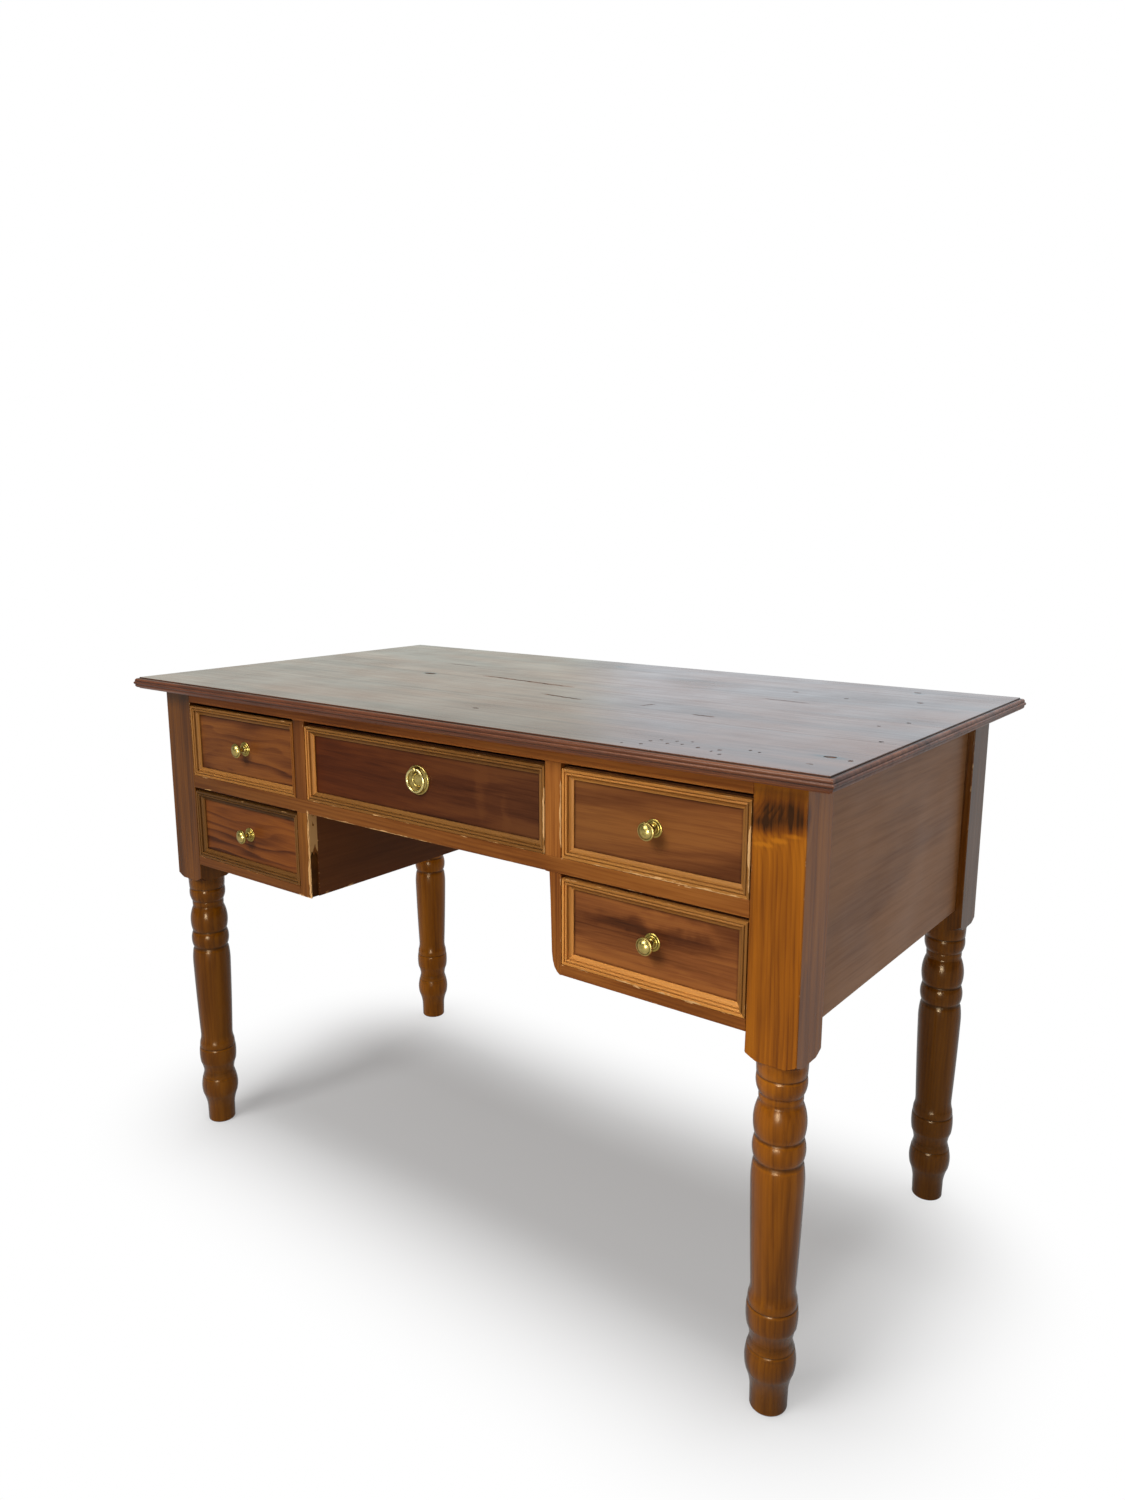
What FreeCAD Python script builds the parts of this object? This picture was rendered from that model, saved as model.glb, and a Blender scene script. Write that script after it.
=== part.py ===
import FreeCAD, Part
import operator
import os
import Sketcher

# A kneehole writing desk on four turned legs: a boarded top with a reeded edge, two shallow
# pedestals of two drawers each, a centre drawer with a ring pull, and turned brass knobs.
# Frame: +Z up, the front faces -Y, the origin on the floor under the middle of the top.

# Driving sizes, in millimetres
SIZES = {
    # whole desk
    "desk_height": 775,
    "top_length": 1200,
    "top_depth": 650,
    "top_thickness": 18,
    "side_overhang": 40,
    "front_overhang": 32,
    "back_overhang": 28,
    # boards of the top
    "front_board_width": 197,
    "middle_board_width": 138,
    "tongue_length": 8,
    "tongue_thickness": 6,
    "edge_depth": 7,
    # legs
    "post_size": 62,
    "turning_height": 442,
    "pommel_rise": 7,
    # front frame and panels
    "top_rail_height": 19,
    "upper_opening": 116,
    "mid_rail_height": 20,
    "lower_opening": 115,
    "bottom_rail_height": 14.5,
    "kneehole_width": 442,
    "divider_width": 24,
    "frame_depth": 22,
    "tenon_length": 24,
    "tenon_thickness": 8,
    "stile_tenon": 12,
    "stub_length": 6,
    "panel_thickness": 16,
    "panel_recess": 10,
    "panel_tongue": 9,
    "partition_thickness": 16,
    "partition_tongue": 6,
    # drawer supports
    "runner_lap": 13,
    "guide_height": 14,
    "stop_length": 14,
    "stop_height": 12,
    # drawers
    "slide_gap": 0.3,
    "front_gap": 1.2,
    "head_gap": 3.8,
    "front_thickness": 16,
    "front_lap": 5,
    "moulding_width": 13,
    "moulding_depth": 8,
    "side_thickness": 11,
    "side_drop": 8,
    "back_thickness": 11,
    "back_drop": 5,
    "bottom_thickness": 7,
    "bottom_rise": 8,
    "groove_depth": 5,
    "pull_lift": 4,
    # brass knobs and their rosettes
    "knob_radius": 10.9,
    "knob_projection": 22,
    "shank_radius": 2.6,
    "shank_length": 13,
    "bore_gap": 0.2,
    "rosette_radius": 11,
    "rosette_thickness": 2.4,
    # brass ring pull
    "plate_radius": 20.2,
    "plate_thickness": 2.8,
    "ring_radius": 15.2,
    "ring_wire": 1.9,
    "ring_stand_off": 6,
    "eye_radius": 3.9,
    "eye_gap": 0.5,
    "bolt_radius": 2,
    "bolt_length": 13,
    # how far a cutter runs past what it cuts
    "overrun": 5,
}

# Turned part of a leg from the floor up: radius as a share of half the post, height as a share
# of the turning, and how far the stretch above bows outwards as a share of half the post
TURNING_SHARES = (
    (0.0, 0.0, 0.0),
    (0.66, 0.0, 0.02),
    (0.71, 0.008, 0.0),
    (0.725, 0.060, -0.03),
    (0.915, 0.114, 0.055),
    (0.905, 0.176, 0.0),
    (0.895, 0.1815, 0.0),
    (0.865, 0.1840, 0.0),
    (0.870, 0.1865, 0.0),
    (0.803, 0.204, 0.0),
    (0.803, 0.211, -0.02),
    (0.935, 0.247, 0.03),
    (0.950, 0.306, 0.0),
    (0.918, 0.3095, 0.0),
    (0.935, 0.313, 0.0),
    (0.910, 0.330, -0.02),
    (0.84, 0.362, 0.012),
    (0.98, 0.655, 0.02),
    (0.925, 0.711, 0.0),
    (0.875, 0.7185, 0.0),
    (0.875, 0.7235, 0.0),
    (0.915, 0.7275, 0.06),
    (0.905, 0.780, 0.0),
    (0.872, 0.7835, 0.0),
    (0.872, 0.7875, 0.0),
    (0.905, 0.791, 0.095),
    (0.83, 0.876, -0.02),
    (0.805, 0.890, 0.0),
    (0.805, 0.901, -0.015),
    (0.83, 0.908, 0.05),
    (0.905, 0.951, 0.0),
    (0.885, 0.9535, 0.0),
    (0.885, 0.9560, 0.0),
    (0.91, 0.9585, 0.0),
    (0.925, 0.978, -0.012),
    (0.965, 1.0, 0.0),
    (0.0, 1.0, 0.0),
)

# Rounding of a post's lower corners: where it starts on the lower face, and the corner itself,
# as shares of the post's side measured from the leg's axis
POMMEL_SHARE = 0.57
CORNER_SHARE = 0.707

# Reeded edge of the top, from its upper arris down: inset and bow as shares of the edge's depth,
# height as a share of the board's thickness
EDGE_SHARES = (
    (1.0, 1.0, 0.0),
    (1.0, 0.90, 0.0),
    (0.80, 0.90, 0.24),
    (0.26, 0.63, 0.26),
    (0.26, 0.36, 0.24),
    (0.80, 0.08, 0.0),
    (1.0, 0.0, 0.0),
)

# Section of a drawer moulding: distance from its outer edge as a share of its width, depth
# behind its front and bow as shares of its depth
MOULDING_SHARES = (
    (0.0, 0.0, 0.0),
    (0.29, 0.0, 0.0),
    (0.33, 0.17, 0.13),
    (0.51, 0.19, 0.0),
    (0.53, 0.31, -0.08),
    (0.96, 0.80, 0.0),
    (1.0, 0.83, 0.0),
    (1.0, 1.0, 0.0),
    (0.0, 1.0, 0.0),
)

# Dovetail tails at the ends of a drawer side: lower and upper edge at the tip as shares of the
# side's height, and how much narrower a tail is at its root
TAIL_SHARES = ((0.04, 0.36), (0.60, 0.92))
TAIL_FLARE_SHARE = 0.03

# Head of a knob from its seat on the rosette to its crown: radius and bow as shares of the
# knob's radius, height as a share of its projection
KNOB_SHARES = (
    (0.52, 0.14, 0.05),
    (0.36, 0.22, -0.06),
    (0.36, 0.45, -0.08),
    (0.84, 0.66, 0.0),
    (0.96, 0.68, 0.05),
    (0.97, 0.81, 0.0),
    (0.78, 0.84, 0.0),
    (0.74, 0.86, 0.075),
    (0.10, 1.0, 0.0),
    (0.0, 1.0, 0.0),
)

# Raised rings of a rosette and of the ring pull's plate, from the rim inwards: radius share,
# height share of the thickness, bow as a share of the thickness
ROSETTE_SHARES = (
    (1.0, 0.30, 0.14),
    (0.80, 0.62, 0.0),
    (0.76, 0.56, 0.14),
    (0.56, 1.0, 0.0),
)
PLATE_SHARES = (
    (1.0, 0.40, 0.32),
    (0.87, 0.52, 0.0),
    (0.84, 0.40, -0.10),
    (0.52, 0.46, 0.0),
    (0.50, 0.58, 0.34),
    (0.39, 0.60, 0.0),
    (0.37, 0.44, 0.0),
    (0.0, 0.44, 0.0),
)

OPERATIONS = {
    "+": operator.add,
    "-": operator.sub,
    "*": operator.mul,
    "/": operator.truediv,
}
LEFT, RIGHT = -1, 1
SIDE_NAMES = {LEFT: "left", RIGHT: "right"}


class Size:
    """A length known both as a number and as the formula over the sheet that gives it."""

    def __init__(self, value, formula):
        self.value = float(value)
        self.formula = formula

    def __add__(self, other):
        return combined(self, "+", other)

    def __sub__(self, other):
        return combined(self, "-", other)

    def __mul__(self, other):
        return combined(self, "*", other)

    def __truediv__(self, other):
        return combined(self, "/", other)

    def __neg__(self):
        return combined(ZERO, "-", self)


def combined(left, sign, right):
    """Two sizes, or a size and a plain share, joined by one sign."""
    if not isinstance(right, Size):
        right = Size(right, repr(right))
    value = OPERATIONS[sign](left.value, right.value)
    return Size(value, f"({left.formula} {sign} {right.formula})")


class NamedSizes:
    """The sheet's sizes as attributes."""


ZERO = Size(0, "0")
s = NamedSizes()
doc = FreeCAD.newDocument("desk")
sheet = doc.addObject("Spreadsheet::Sheet", "Sizes")
for row, (alias, number) in enumerate(SIZES.items(), start=1):
    sheet.set(f"A{row}", alias)
    sheet.set(f"B{row}", str(number))
    sheet.setAlias(f"B{row}", alias)
    setattr(s, alias, Size(number, f"Sizes.{alias}"))
doc.recompute()

# Levels and faces that several pieces share
case_half = s.top_length / 2 - s.side_overhang
case_front = s.front_overhang - s.top_depth / 2
case_back = s.top_depth / 2 - s.back_overhang
case_top = s.desk_height - s.top_thickness
upper_head = case_top - s.top_rail_height
upper_floor = upper_head - s.upper_opening
lower_head = upper_floor - s.mid_rail_height
lower_floor = lower_head - s.lower_opening
case_low = lower_floor - s.bottom_rail_height
post_inner = case_half - s.post_size
knee_half = s.kneehole_width / 2
stile_outer = knee_half + s.divider_width
frame_back = case_front + s.frame_depth
back_face = case_back - s.panel_recess - s.panel_thickness
end_face = case_half - s.panel_recess - s.panel_thickness
partition_outer = knee_half + s.partition_thickness
drawer_field = case_front + s.moulding_depth
front_back = drawer_field + s.front_thickness
drawer_rear = back_face - s.stop_length - s.slide_gap

nodes = {}


def place(piece, x, y, z):
    """Bind the place of a piece's own origin."""
    for axis, length in zip("xyz", (x, y, z)):
        piece.setExpression(f"Placement.Base.{axis}", length.formula)


def face_forward(piece):
    """Turn a piece made along +Z so that it points out of the desk's front."""
    quarter = FreeCAD.Rotation(FreeCAD.Vector(1, 0, 0), 90)
    piece.Placement = FreeCAD.Placement(FreeCAD.Vector(), quarter)


def mirrored(side, inner, outer):
    """Lowest x of a piece between two distances from the middle, on the left or the right."""
    return inner if side == RIGHT else -outer


def box(label, x, y, z):
    """A board between two faces along each axis, each given as (low, high)."""
    board = doc.addObject("Part::Box", label)
    for name, (low, high) in zip(("Length", "Width", "Height"), (x, y, z)):
        board.setExpression(name, (high - low).formula)
    place(board, x[0], y[0], z[0])
    return board


def side_box(label, side, inner, outer, y, z):
    """A board between two distances from the middle, on the left or the right."""
    low = mirrored(side, inner, outer)
    return box(label, (low, low + outer - inner), y, z)


def cylinder(label, radius, length, x, y, z):
    """A round bar that points out of the desk's front from (x, y, z)."""
    bar = doc.addObject("Part::Cylinder", label)
    bar.setExpression("Radius", radius.formula)
    bar.setExpression("Height", length.formula)
    face_forward(bar)
    place(bar, x, y, z)
    return bar


def gathered(label, pieces):
    """Separate solids kept together under one name."""
    group = doc.addObject("Part::Compound", label)
    group.Links = pieces
    return group


def cut(label, base, tools):
    """A piece with its mating pieces cut out of it."""
    piece = doc.addObject("Part::Cut", label)
    piece.Base = base
    piece.Tool = tools[0] if len(tools) == 1 else gathered(f"{label}_cutters", tools)
    return piece


def fused(label, pieces):
    """Boxes that are one piece of wood or metal."""
    piece = doc.addObject("Part::MultiFuse", label)
    piece.Shapes = pieces
    piece.Refine = True
    return piece


def common(label, pieces):
    """What two pieces share."""
    piece = doc.addObject("Part::MultiCommon", label)
    piece.Shapes = pieces
    return piece


def keep(label, piece, solids=1):
    """Name a finished sub-part and say how many solids it has."""
    piece.Label = label
    nodes[label] = (piece, solids)
    return piece


def anticlockwise(outline):
    """The outline in anticlockwise order, each bow still on its own stretch."""
    corners = [(corner[0], corner[1]) for corner in outline]
    bows = [corner[2] if len(corner) > 2 else ZERO for corner in outline]
    ahead = corners[1:] + corners[:1]
    twice_area = sum(p[0].value * q[1].value - q[0].value * p[1].value for p, q in zip(corners, ahead))
    if twice_area < 0:
        corners = corners[::-1]
        bows = bows[-2::-1] + bows[-1:]
    return [(u, v, bow) for (u, v), bow in zip(corners, bows)]


def bow_radius(start, end, bow):
    """Radius of the arc that stands a given height over the straight line between two points."""
    across = end[0] - start[0]
    along = end[1] - start[1]
    chord_squared = across * across + along * along
    return (chord_squared / 4 + bow * bow) / (bow * 2)


def stretch(start, end, bow):
    """Geometry of one stretch of an outline, and the positions of its start and end in it."""
    first = FreeCAD.Vector(start[0].value, start[1].value, 0)
    last = FreeCAD.Vector(end[0].value, end[1].value, 0)
    if bow.value == 0:
        return Part.LineSegment(first, last), 1, 2
    chord = last - first
    outwards = FreeCAD.Vector(chord.y, -chord.x, 0).normalize()
    crown = (first + last) * 0.5 + outwards * bow.value
    points = (first, crown, last) if bow.value > 0 else (last, crown, first)
    positions = (1, 2) if bow.value > 0 else (2, 1)
    return Part.ArcOfCircle(*points), *positions


def draw(sketch, outline):
    """Draw a closed outline and tie every corner and every arc to the sheet.

    A corner is (u, v) or (u, v, bow), where bow is how far the stretch that leaves the corner
    stands out from a straight line, and is negative where it is hollow.
    """
    corners = anticlockwise(outline)
    count = len(corners)
    stretches = [stretch(corners[i], corners[(i + 1) % count], corners[i][2]) for i in range(count)]
    sketch.addGeometry([geometry for geometry, _, _ in stretches], False)
    ties = []
    formulas = {}
    for index, (u, v, bow) in enumerate(corners):
        _, begin, finish = stretches[index]
        following = (index + 1) % count
        ties.append(Sketcher.Constraint("Coincident", index, finish, following, stretches[following][1]))
        for kind, length, axis in (("DistanceX", u, -2), ("DistanceY", v, -1)):
            if length.value == 0:
                ties.append(Sketcher.Constraint("PointOnObject", index, begin, axis))
            else:
                formulas[len(ties)] = length.formula
                ties.append(Sketcher.Constraint(kind, index, begin, length.value))
        if bow.value != 0:
            size = bow if bow.value > 0 else -bow
            radius = bow_radius(corners[index], corners[following], size)
            formulas[len(ties)] = radius.formula
            ties.append(Sketcher.Constraint("Radius", index, radius.value))
    sketch.addConstraint(ties)
    for index, formula in formulas.items():
        sketch.renameConstraint(index, f"size_{index}")
        sketch.setExpression(f"Constraints.size_{index}", formula)


def new_body(label):
    """An empty body for one piece."""
    return doc.addObject("PartDesign::Body", label)


def sketch_on(body, role, outline):
    """A closed outline on one of a body's own planes."""
    sketch = body.newObject("Sketcher::SketchObject", f"{body.Name}_outline")
    plane = next(feature for feature in body.Origin.OriginFeatures if feature.Role == role)
    sketch.AttachmentSupport = [(plane, "")]
    sketch.MapMode = "FlatFace"
    draw(sketch, outline)
    return sketch


def prism(label, role, outline, length):
    """An outline carried straight along +X, +Y or +Z from the plane that it is drawn on."""
    body = new_body(label)
    pad = body.newObject("PartDesign::Pad", f"{label}_pad")
    pad.Profile = sketch_on(body, role, outline)
    pad.setExpression("Length", length.formula)
    pad.Reversed = role == "XZ_Plane"
    body.Tip = pad
    return body


def turned(label, outline):
    """An outline of radius and height turned about the upright axis."""
    body = new_body(label)
    turning = body.newObject("PartDesign::Revolution", f"{label}_turning")
    sketch = sketch_on(body, "XZ_Plane", outline)
    turning.Profile = sketch
    turning.ReferenceAxis = (sketch, ["V_Axis"])
    turning.Angle = 360
    body.Tip = turning
    return body


def scaled(shares, across, along, bow):
    """Rows of shares as an outline's corners."""
    return [(across * first, along * second, bow * third) for first, second, third in shares]


def edge_corners(outer, direction):
    """Corners of the reeded edge, from its upper arris down, at one end of a board's section."""
    return [
        (outer + s.edge_depth * inset * direction, s.top_thickness * height, s.edge_depth * bow)
        for inset, height, bow in EDGE_SHARES
    ]


def square_edge(at, reach):
    """Corners of a jointed edge, from the top down, with a tongue or a groove at half thickness."""
    cheek = (s.top_thickness - s.tongue_thickness) / 2
    shoulder = cheek + s.tongue_thickness
    return [
        (at, s.top_thickness),
        (at, shoulder),
        (at + reach, shoulder),
        (at + reach, cheek),
        (at, cheek),
        (at, ZERO),
    ]


def make_top():
    """Three boards with tongued joints, moulded along all four edges of the top."""
    first_seam = s.front_board_width
    second_seam = first_seam + s.middle_board_width
    length, depth, tongue = s.top_length, s.top_depth, s.tongue_length
    front_edge = edge_corners(ZERO, 1)
    rear_edge = edge_corners(depth, -1)
    sections = {
        "front": front_edge + square_edge(first_seam, -tongue)[::-1],
        "middle": square_edge(first_seam, -tongue) + square_edge(second_seam, tongue)[::-1],
        "rear": square_edge(second_seam, tongue) + reversed_edge(rear_edge),
    }
    ends_outline = edge_corners(ZERO, 1) + reversed_edge(edge_corners(length, -1))
    for name, section in sections.items():
        board = prism(f"top_{name}_section", "YZ_Plane", section, length)
        ends = prism(f"top_{name}_ends", "XZ_Plane", ends_outline, depth)
        for blank in (board, ends):
            place(blank, -length / 2, -depth / 2, case_top)
        keep(f"top_board_{name}", common(f"top_board_{name}", [board, ends]))


def reversed_edge(corners):
    """Corners of an edge from the bottom up, each bow still on its own stretch."""
    bows = [bow for _, _, bow in corners]
    turned_bows = bows[-2::-1] + [ZERO]
    return [(u, v, bow) for (u, v, _), bow in zip(corners[::-1], turned_bows)]


def leg_blank(label, x, y):
    """A square post over a turned leg, its lower corners rounded off on the lathe."""
    half_post = s.post_size / 2
    outline = scaled(TURNING_SHARES, half_post, s.turning_height, half_post)
    body = turned(label, outline)
    square = [(ZERO, ZERO), (s.post_size, ZERO), (s.post_size, s.post_size), (ZERO, s.post_size)]
    section = sketch_on(body, "XY_Plane", square)
    section.setExpression("AttachmentOffset.Base.x", (-half_post).formula)
    section.setExpression("AttachmentOffset.Base.y", (-half_post).formula)
    section.setExpression("AttachmentOffset.Base.z", s.turning_height.formula)
    post = body.newObject("PartDesign::Pad", f"{label}_post")
    post.Profile = section
    post.setExpression("Length", (case_top - s.turning_height).formula)
    start = s.post_size * POMMEL_SHARE
    beyond = s.post_size
    slope = s.pommel_rise / (s.post_size * CORNER_SHARE - start)
    pommel = [
        (start, s.turning_height),
        (beyond, s.turning_height),
        (beyond, s.turning_height + slope * (beyond - start)),
    ]
    groove = body.newObject("PartDesign::Groove", f"{label}_pommel")
    rounding = sketch_on(body, "XZ_Plane", pommel)
    groove.Profile = rounding
    groove.ReferenceAxis = (rounding, ["V_Axis"])
    groove.Angle = 360
    body.Tip = groove
    place(body, x, y, ZERO)
    return body


def tenoned_rail(label, low, high, low_tenon, high_tenon, z):
    """A front rail with a bare tenon at each end."""
    middle = case_front + (s.frame_depth - s.tenon_thickness) / 2
    rail = box(f"{label}_bar", (low, high), (case_front, frame_back), z)
    tenon_faces = (middle, middle + s.tenon_thickness)
    tenons = box(f"{label}_tenons", (low - low_tenon, high + high_tenon), tenon_faces, z)
    return fused(f"{label}_blank", [rail, tenons])


def tenoned_upright(label, side, z, low_stub, high_stub):
    """A divider or stile of the front frame with stub tenons into the rails."""
    middle = case_front + (s.frame_depth - s.tenon_thickness) / 2
    bar = side_box(f"{label}_bar", side, knee_half, stile_outer, (case_front, frame_back), z)
    stub_faces = (middle, middle + s.tenon_thickness)
    stub_levels = (z[0] - low_stub, z[1] + high_stub)
    stubs = side_box(f"{label}_stubs", side, knee_half, stile_outer, stub_faces, stub_levels)
    return fused(f"{label}_blank", [bar, stubs])


def make_case():
    """The legs, the front frame, the panels and the partitions, each cut for its neighbours."""
    partitions, dividers, stiles, end_panels, rear_boards = {}, {}, {}, {}, {}
    bottom_rails = {}
    panel_y = (case_front + s.post_size - s.panel_tongue, case_back - s.post_size + s.panel_tongue)
    rear_y = (back_face, back_face + s.panel_thickness)
    for side, name in SIDE_NAMES.items():
        partitions[side] = keep(f"partition_{name}", side_box(
            f"partition_{name}", side, knee_half, partition_outer,
            (frame_back - s.partition_tongue, back_face), (case_low, case_top)))
        end_panels[side] = keep(f"end_panel_{name}", side_box(
            f"end_panel_{name}", side, end_face, end_face + s.panel_thickness,
            panel_y, (case_low, case_top)))
        rear_boards[side] = side_box(
            f"pedestal_back_{name}", side, knee_half, post_inner + s.panel_tongue,
            rear_y, (case_low, lower_head))
        low, high = (stile_outer, post_inner) if side == RIGHT else (-post_inner, -stile_outer)
        tenons = (s.stile_tenon, s.tenon_length) if side == RIGHT else (s.tenon_length, s.stile_tenon)
        bottom_rails[side] = keep(f"bottom_rail_{name}", tenoned_rail(
            f"bottom_rail_{name}", low, high, *tenons, (case_low, lower_floor)))
        divider = tenoned_upright(
            f"divider_{name}", side, (upper_floor, upper_head), s.stub_length, s.stub_length)
        dividers[side] = keep(f"divider_{name}", cut(f"divider_{name}", divider, [partitions[side]]))
        stile = tenoned_upright(
            f"kneehole_stile_{name}", side, (case_low, lower_head), ZERO, s.stub_length)
        stiles[side] = keep(f"kneehole_stile_{name}", cut(
            f"kneehole_stile_{name}", stile, [partitions[side], bottom_rails[side]]))
    keep("pedestal_backs", gathered("pedestal_backs", list(rear_boards.values())), solids=2)
    apron_reach = post_inner + s.panel_tongue
    apron = keep("back_apron", box("back_apron", (-apron_reach, apron_reach), rear_y, (lower_head, case_top)))
    uprights = list(dividers.values()) + list(partitions.values())
    top_rail = tenoned_rail(
        "front_top_rail", -post_inner, post_inner, s.tenon_length, s.tenon_length, (upper_head, case_top))
    mid_rail = tenoned_rail(
        "front_mid_rail", -post_inner, post_inner, s.tenon_length, s.tenon_length, (lower_head, upper_floor))
    keep("front_top_rail", cut("front_top_rail", top_rail, uprights))
    keep("front_mid_rail", cut("front_mid_rail", mid_rail, uprights + list(stiles.values())))
    half_post = s.post_size / 2
    blanks = {}
    for side, name in SIDE_NAMES.items():
        x = mirrored(side, case_half - half_post, case_half - half_post)
        front = leg_blank(f"leg_front_{name}_blank", x, case_front + half_post)
        rear = leg_blank(f"leg_rear_{name}_blank", x, case_back - half_post)
        blanks[side] = [front, rear]
        front_tools = [top_rail, mid_rail, bottom_rails[side], end_panels[side]]
        keep(f"leg_front_{name}", cut(f"leg_front_{name}", front, front_tools))
        rear_tools = [apron, rear_boards[side], end_panels[side]]
        keep(f"leg_rear_{name}", cut(f"leg_rear_{name}", rear, rear_tools))
    return blanks


def make_supports(blanks):
    """Rebated runners, kickers under the top and stops behind the drawers."""
    runners, kickers, stops = [], [], []
    depth = (frame_back, back_face)
    stop_y = (back_face - s.stop_length, back_face)
    lap = s.runner_lap
    for side, name in SIDE_NAMES.items():
        for level, floor, under in (("lower", lower_floor, case_low), ("upper", upper_floor, lower_head)):
            ledge = (under, floor)
            guide = (under, floor + s.guide_height)
            outer = fused(f"outer_runner_{level}_{name}", [
                side_box(f"outer_ledge_{level}_{name}", side, post_inner - lap, end_face, depth, ledge),
                side_box(f"outer_guide_{level}_{name}", side, post_inner, end_face, depth, guide),
            ])
            runners.append(cut(f"outer_runner_{level}_{name}_notched", outer, blanks[side]))
            runners.append(fused(f"inner_runner_{level}_{name}", [
                side_box(f"inner_ledge_{level}_{name}", side, partition_outer, stile_outer + lap, depth, ledge),
                side_box(f"inner_guide_{level}_{name}", side, partition_outer, stile_outer, depth, guide),
            ]))
            stop_z = (floor, floor + s.stop_height)
            for place_name, inner in (("inner", stile_outer), ("outer", post_inner - lap)):
                stops.append(side_box(
                    f"{place_name}_stop_{level}_{name}", side, inner, inner + lap, stop_y, stop_z))
        centre = (knee_half - lap, knee_half)
        runners.append(side_box(f"centre_runner_{name}", side, *centre, depth, (lower_head, upper_floor)))
        centre_stop_z = (upper_floor, upper_floor + s.stop_height)
        stops.append(side_box(f"centre_stop_{name}", side, *centre, stop_y, centre_stop_z))
        head = (upper_head, case_top)
        kickers.append(side_box(f"centre_kicker_{name}", side, *centre, depth, head))
        kickers.append(side_box(f"inner_kicker_{name}", side, partition_outer, stile_outer + lap, depth, head))
        outer_kicker = side_box(f"outer_kicker_{name}", side, post_inner - lap, end_face, depth, head)
        kickers.append(cut(f"outer_kicker_{name}_notched", outer_kicker, blanks[side]))
    for label, pieces in (("drawer_runners", runners), ("drawer_kickers", kickers), ("drawer_stops", stops)):
        keep(label, gathered(label, pieces), solids=len(pieces))


def drawer_side_outline(length, height):
    """Side view of a drawer side: two dovetails at the front, two at the back."""
    tail = s.front_thickness - s.front_lap
    rear_root = length - s.back_thickness
    outline = [(tail, ZERO), (rear_root, ZERO)]
    for low, high in TAIL_SHARES:
        outline += tail_corners(rear_root, length, height, low, high)
    outline += [(rear_root, height), (tail, height)]
    for low, high in reversed(TAIL_SHARES):
        outline += tail_corners(tail, ZERO, height, low, high)[::-1]
    return outline


def tail_corners(root, tip, height, low, high):
    """One dovetail from its lower root round its tip to its upper root."""
    return [
        (root, height * (low + TAIL_FLARE_SHARE)),
        (tip, height * low),
        (tip, height * high),
        (root, height * (high - TAIL_FLARE_SHARE)),
    ]


def make_mouldings(name, low_x, low_z, width, height):
    """Four moulded strips, mitred at the corners, round the edge of a drawer front."""
    wide, deep = s.moulding_width, s.moulding_depth
    section = scaled(MOULDING_SHARES, wide, deep, deep)
    across = {
        "bottom": [(depth, inset, bow) for inset, depth, bow in section],
        "top": [(depth, height - inset, bow) for inset, depth, bow in section],
    }
    upright = {
        "left": section,
        "right": [(width - inset, depth, bow) for inset, depth, bow in section],
    }
    corners = {
        "outer": [(ZERO, ZERO), (width, ZERO), (width, height), (ZERO, height)],
        "inner": [(wide, wide), (width - wide, wide), (width - wide, height - wide), (wide, height - wide)],
    }
    strips = []
    for index, edge in enumerate(("bottom", "right", "top", "left")):
        following = (index + 1) % len(corners["outer"])
        if edge in across:
            bar = prism(f"{name}_{edge}_bar", "YZ_Plane", across[edge], width)
        else:
            bar = prism(f"{name}_{edge}_bar", "XY_Plane", upright[edge], height)
        mitre_outline = [
            corners["outer"][index],
            corners["outer"][following],
            corners["inner"][following],
            corners["inner"][index],
        ]
        mitre = prism(f"{name}_{edge}_mitre", "XZ_Plane", mitre_outline, deep)
        for blank in (bar, mitre):
            place(blank, low_x, case_front, low_z)
        strips.append(common(f"{name}_{edge}_strip", [bar, mitre]))
    keep(f"{name}_moulding", gathered(f"{name}_moulding", strips), solids=len(strips))


def make_drawer(name, low, high, floor, opening, bores):
    """A dovetailed drawer with its moulded front; bores are cut where its pull is fixed."""
    low_x = low + s.front_gap
    high_x = high - s.front_gap
    low_z = floor + s.slide_gap
    front_height = opening - s.slide_gap - s.head_gap
    side_height = front_height - s.side_drop
    width = high_x - low_x
    side_start = drawer_field + s.front_lap
    outline = drawer_side_outline(drawer_rear - side_start, side_height)
    groove = s.groove_depth
    bottom_low = low_z + s.bottom_rise
    bottom = keep(f"{name}_bottom", box(
        f"{name}_bottom",
        (low_x + s.side_thickness - groove, high_x - s.side_thickness + groove),
        (front_back - groove, drawer_rear),
        (bottom_low, bottom_low + s.bottom_thickness)))
    walls = []
    for wall, x in (("left", low_x), ("right", high_x - s.side_thickness)):
        blank = prism(f"{name}_side_{wall}", "YZ_Plane", outline, s.side_thickness)
        place(blank, x, side_start, low_z)
        walls.append(cut(f"{name}_side_{wall}_grooved", blank, [bottom]))
    keep(f"{name}_sides", gathered(f"{name}_sides", walls), solids=2)
    front = box(
        f"{name}_front_blank", (low_x, high_x), (drawer_field, front_back), (low_z, low_z + front_height))
    keep(f"{name}_front", cut(f"{name}_front", front, walls + [bottom] + bores))
    back = box(
        f"{name}_back_blank", (low_x, high_x), (drawer_rear - s.back_thickness, drawer_rear),
        (bottom_low + s.bottom_thickness, low_z + side_height - s.back_drop))
    keep(f"{name}_back", cut(f"{name}_back", back, walls))
    make_mouldings(name, low_x, low_z, width, front_height)


def front_middle(floor, opening):
    """Height of the middle of a drawer front."""
    return floor + s.slide_gap + (opening - s.slide_gap - s.head_gap) / 2


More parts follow.
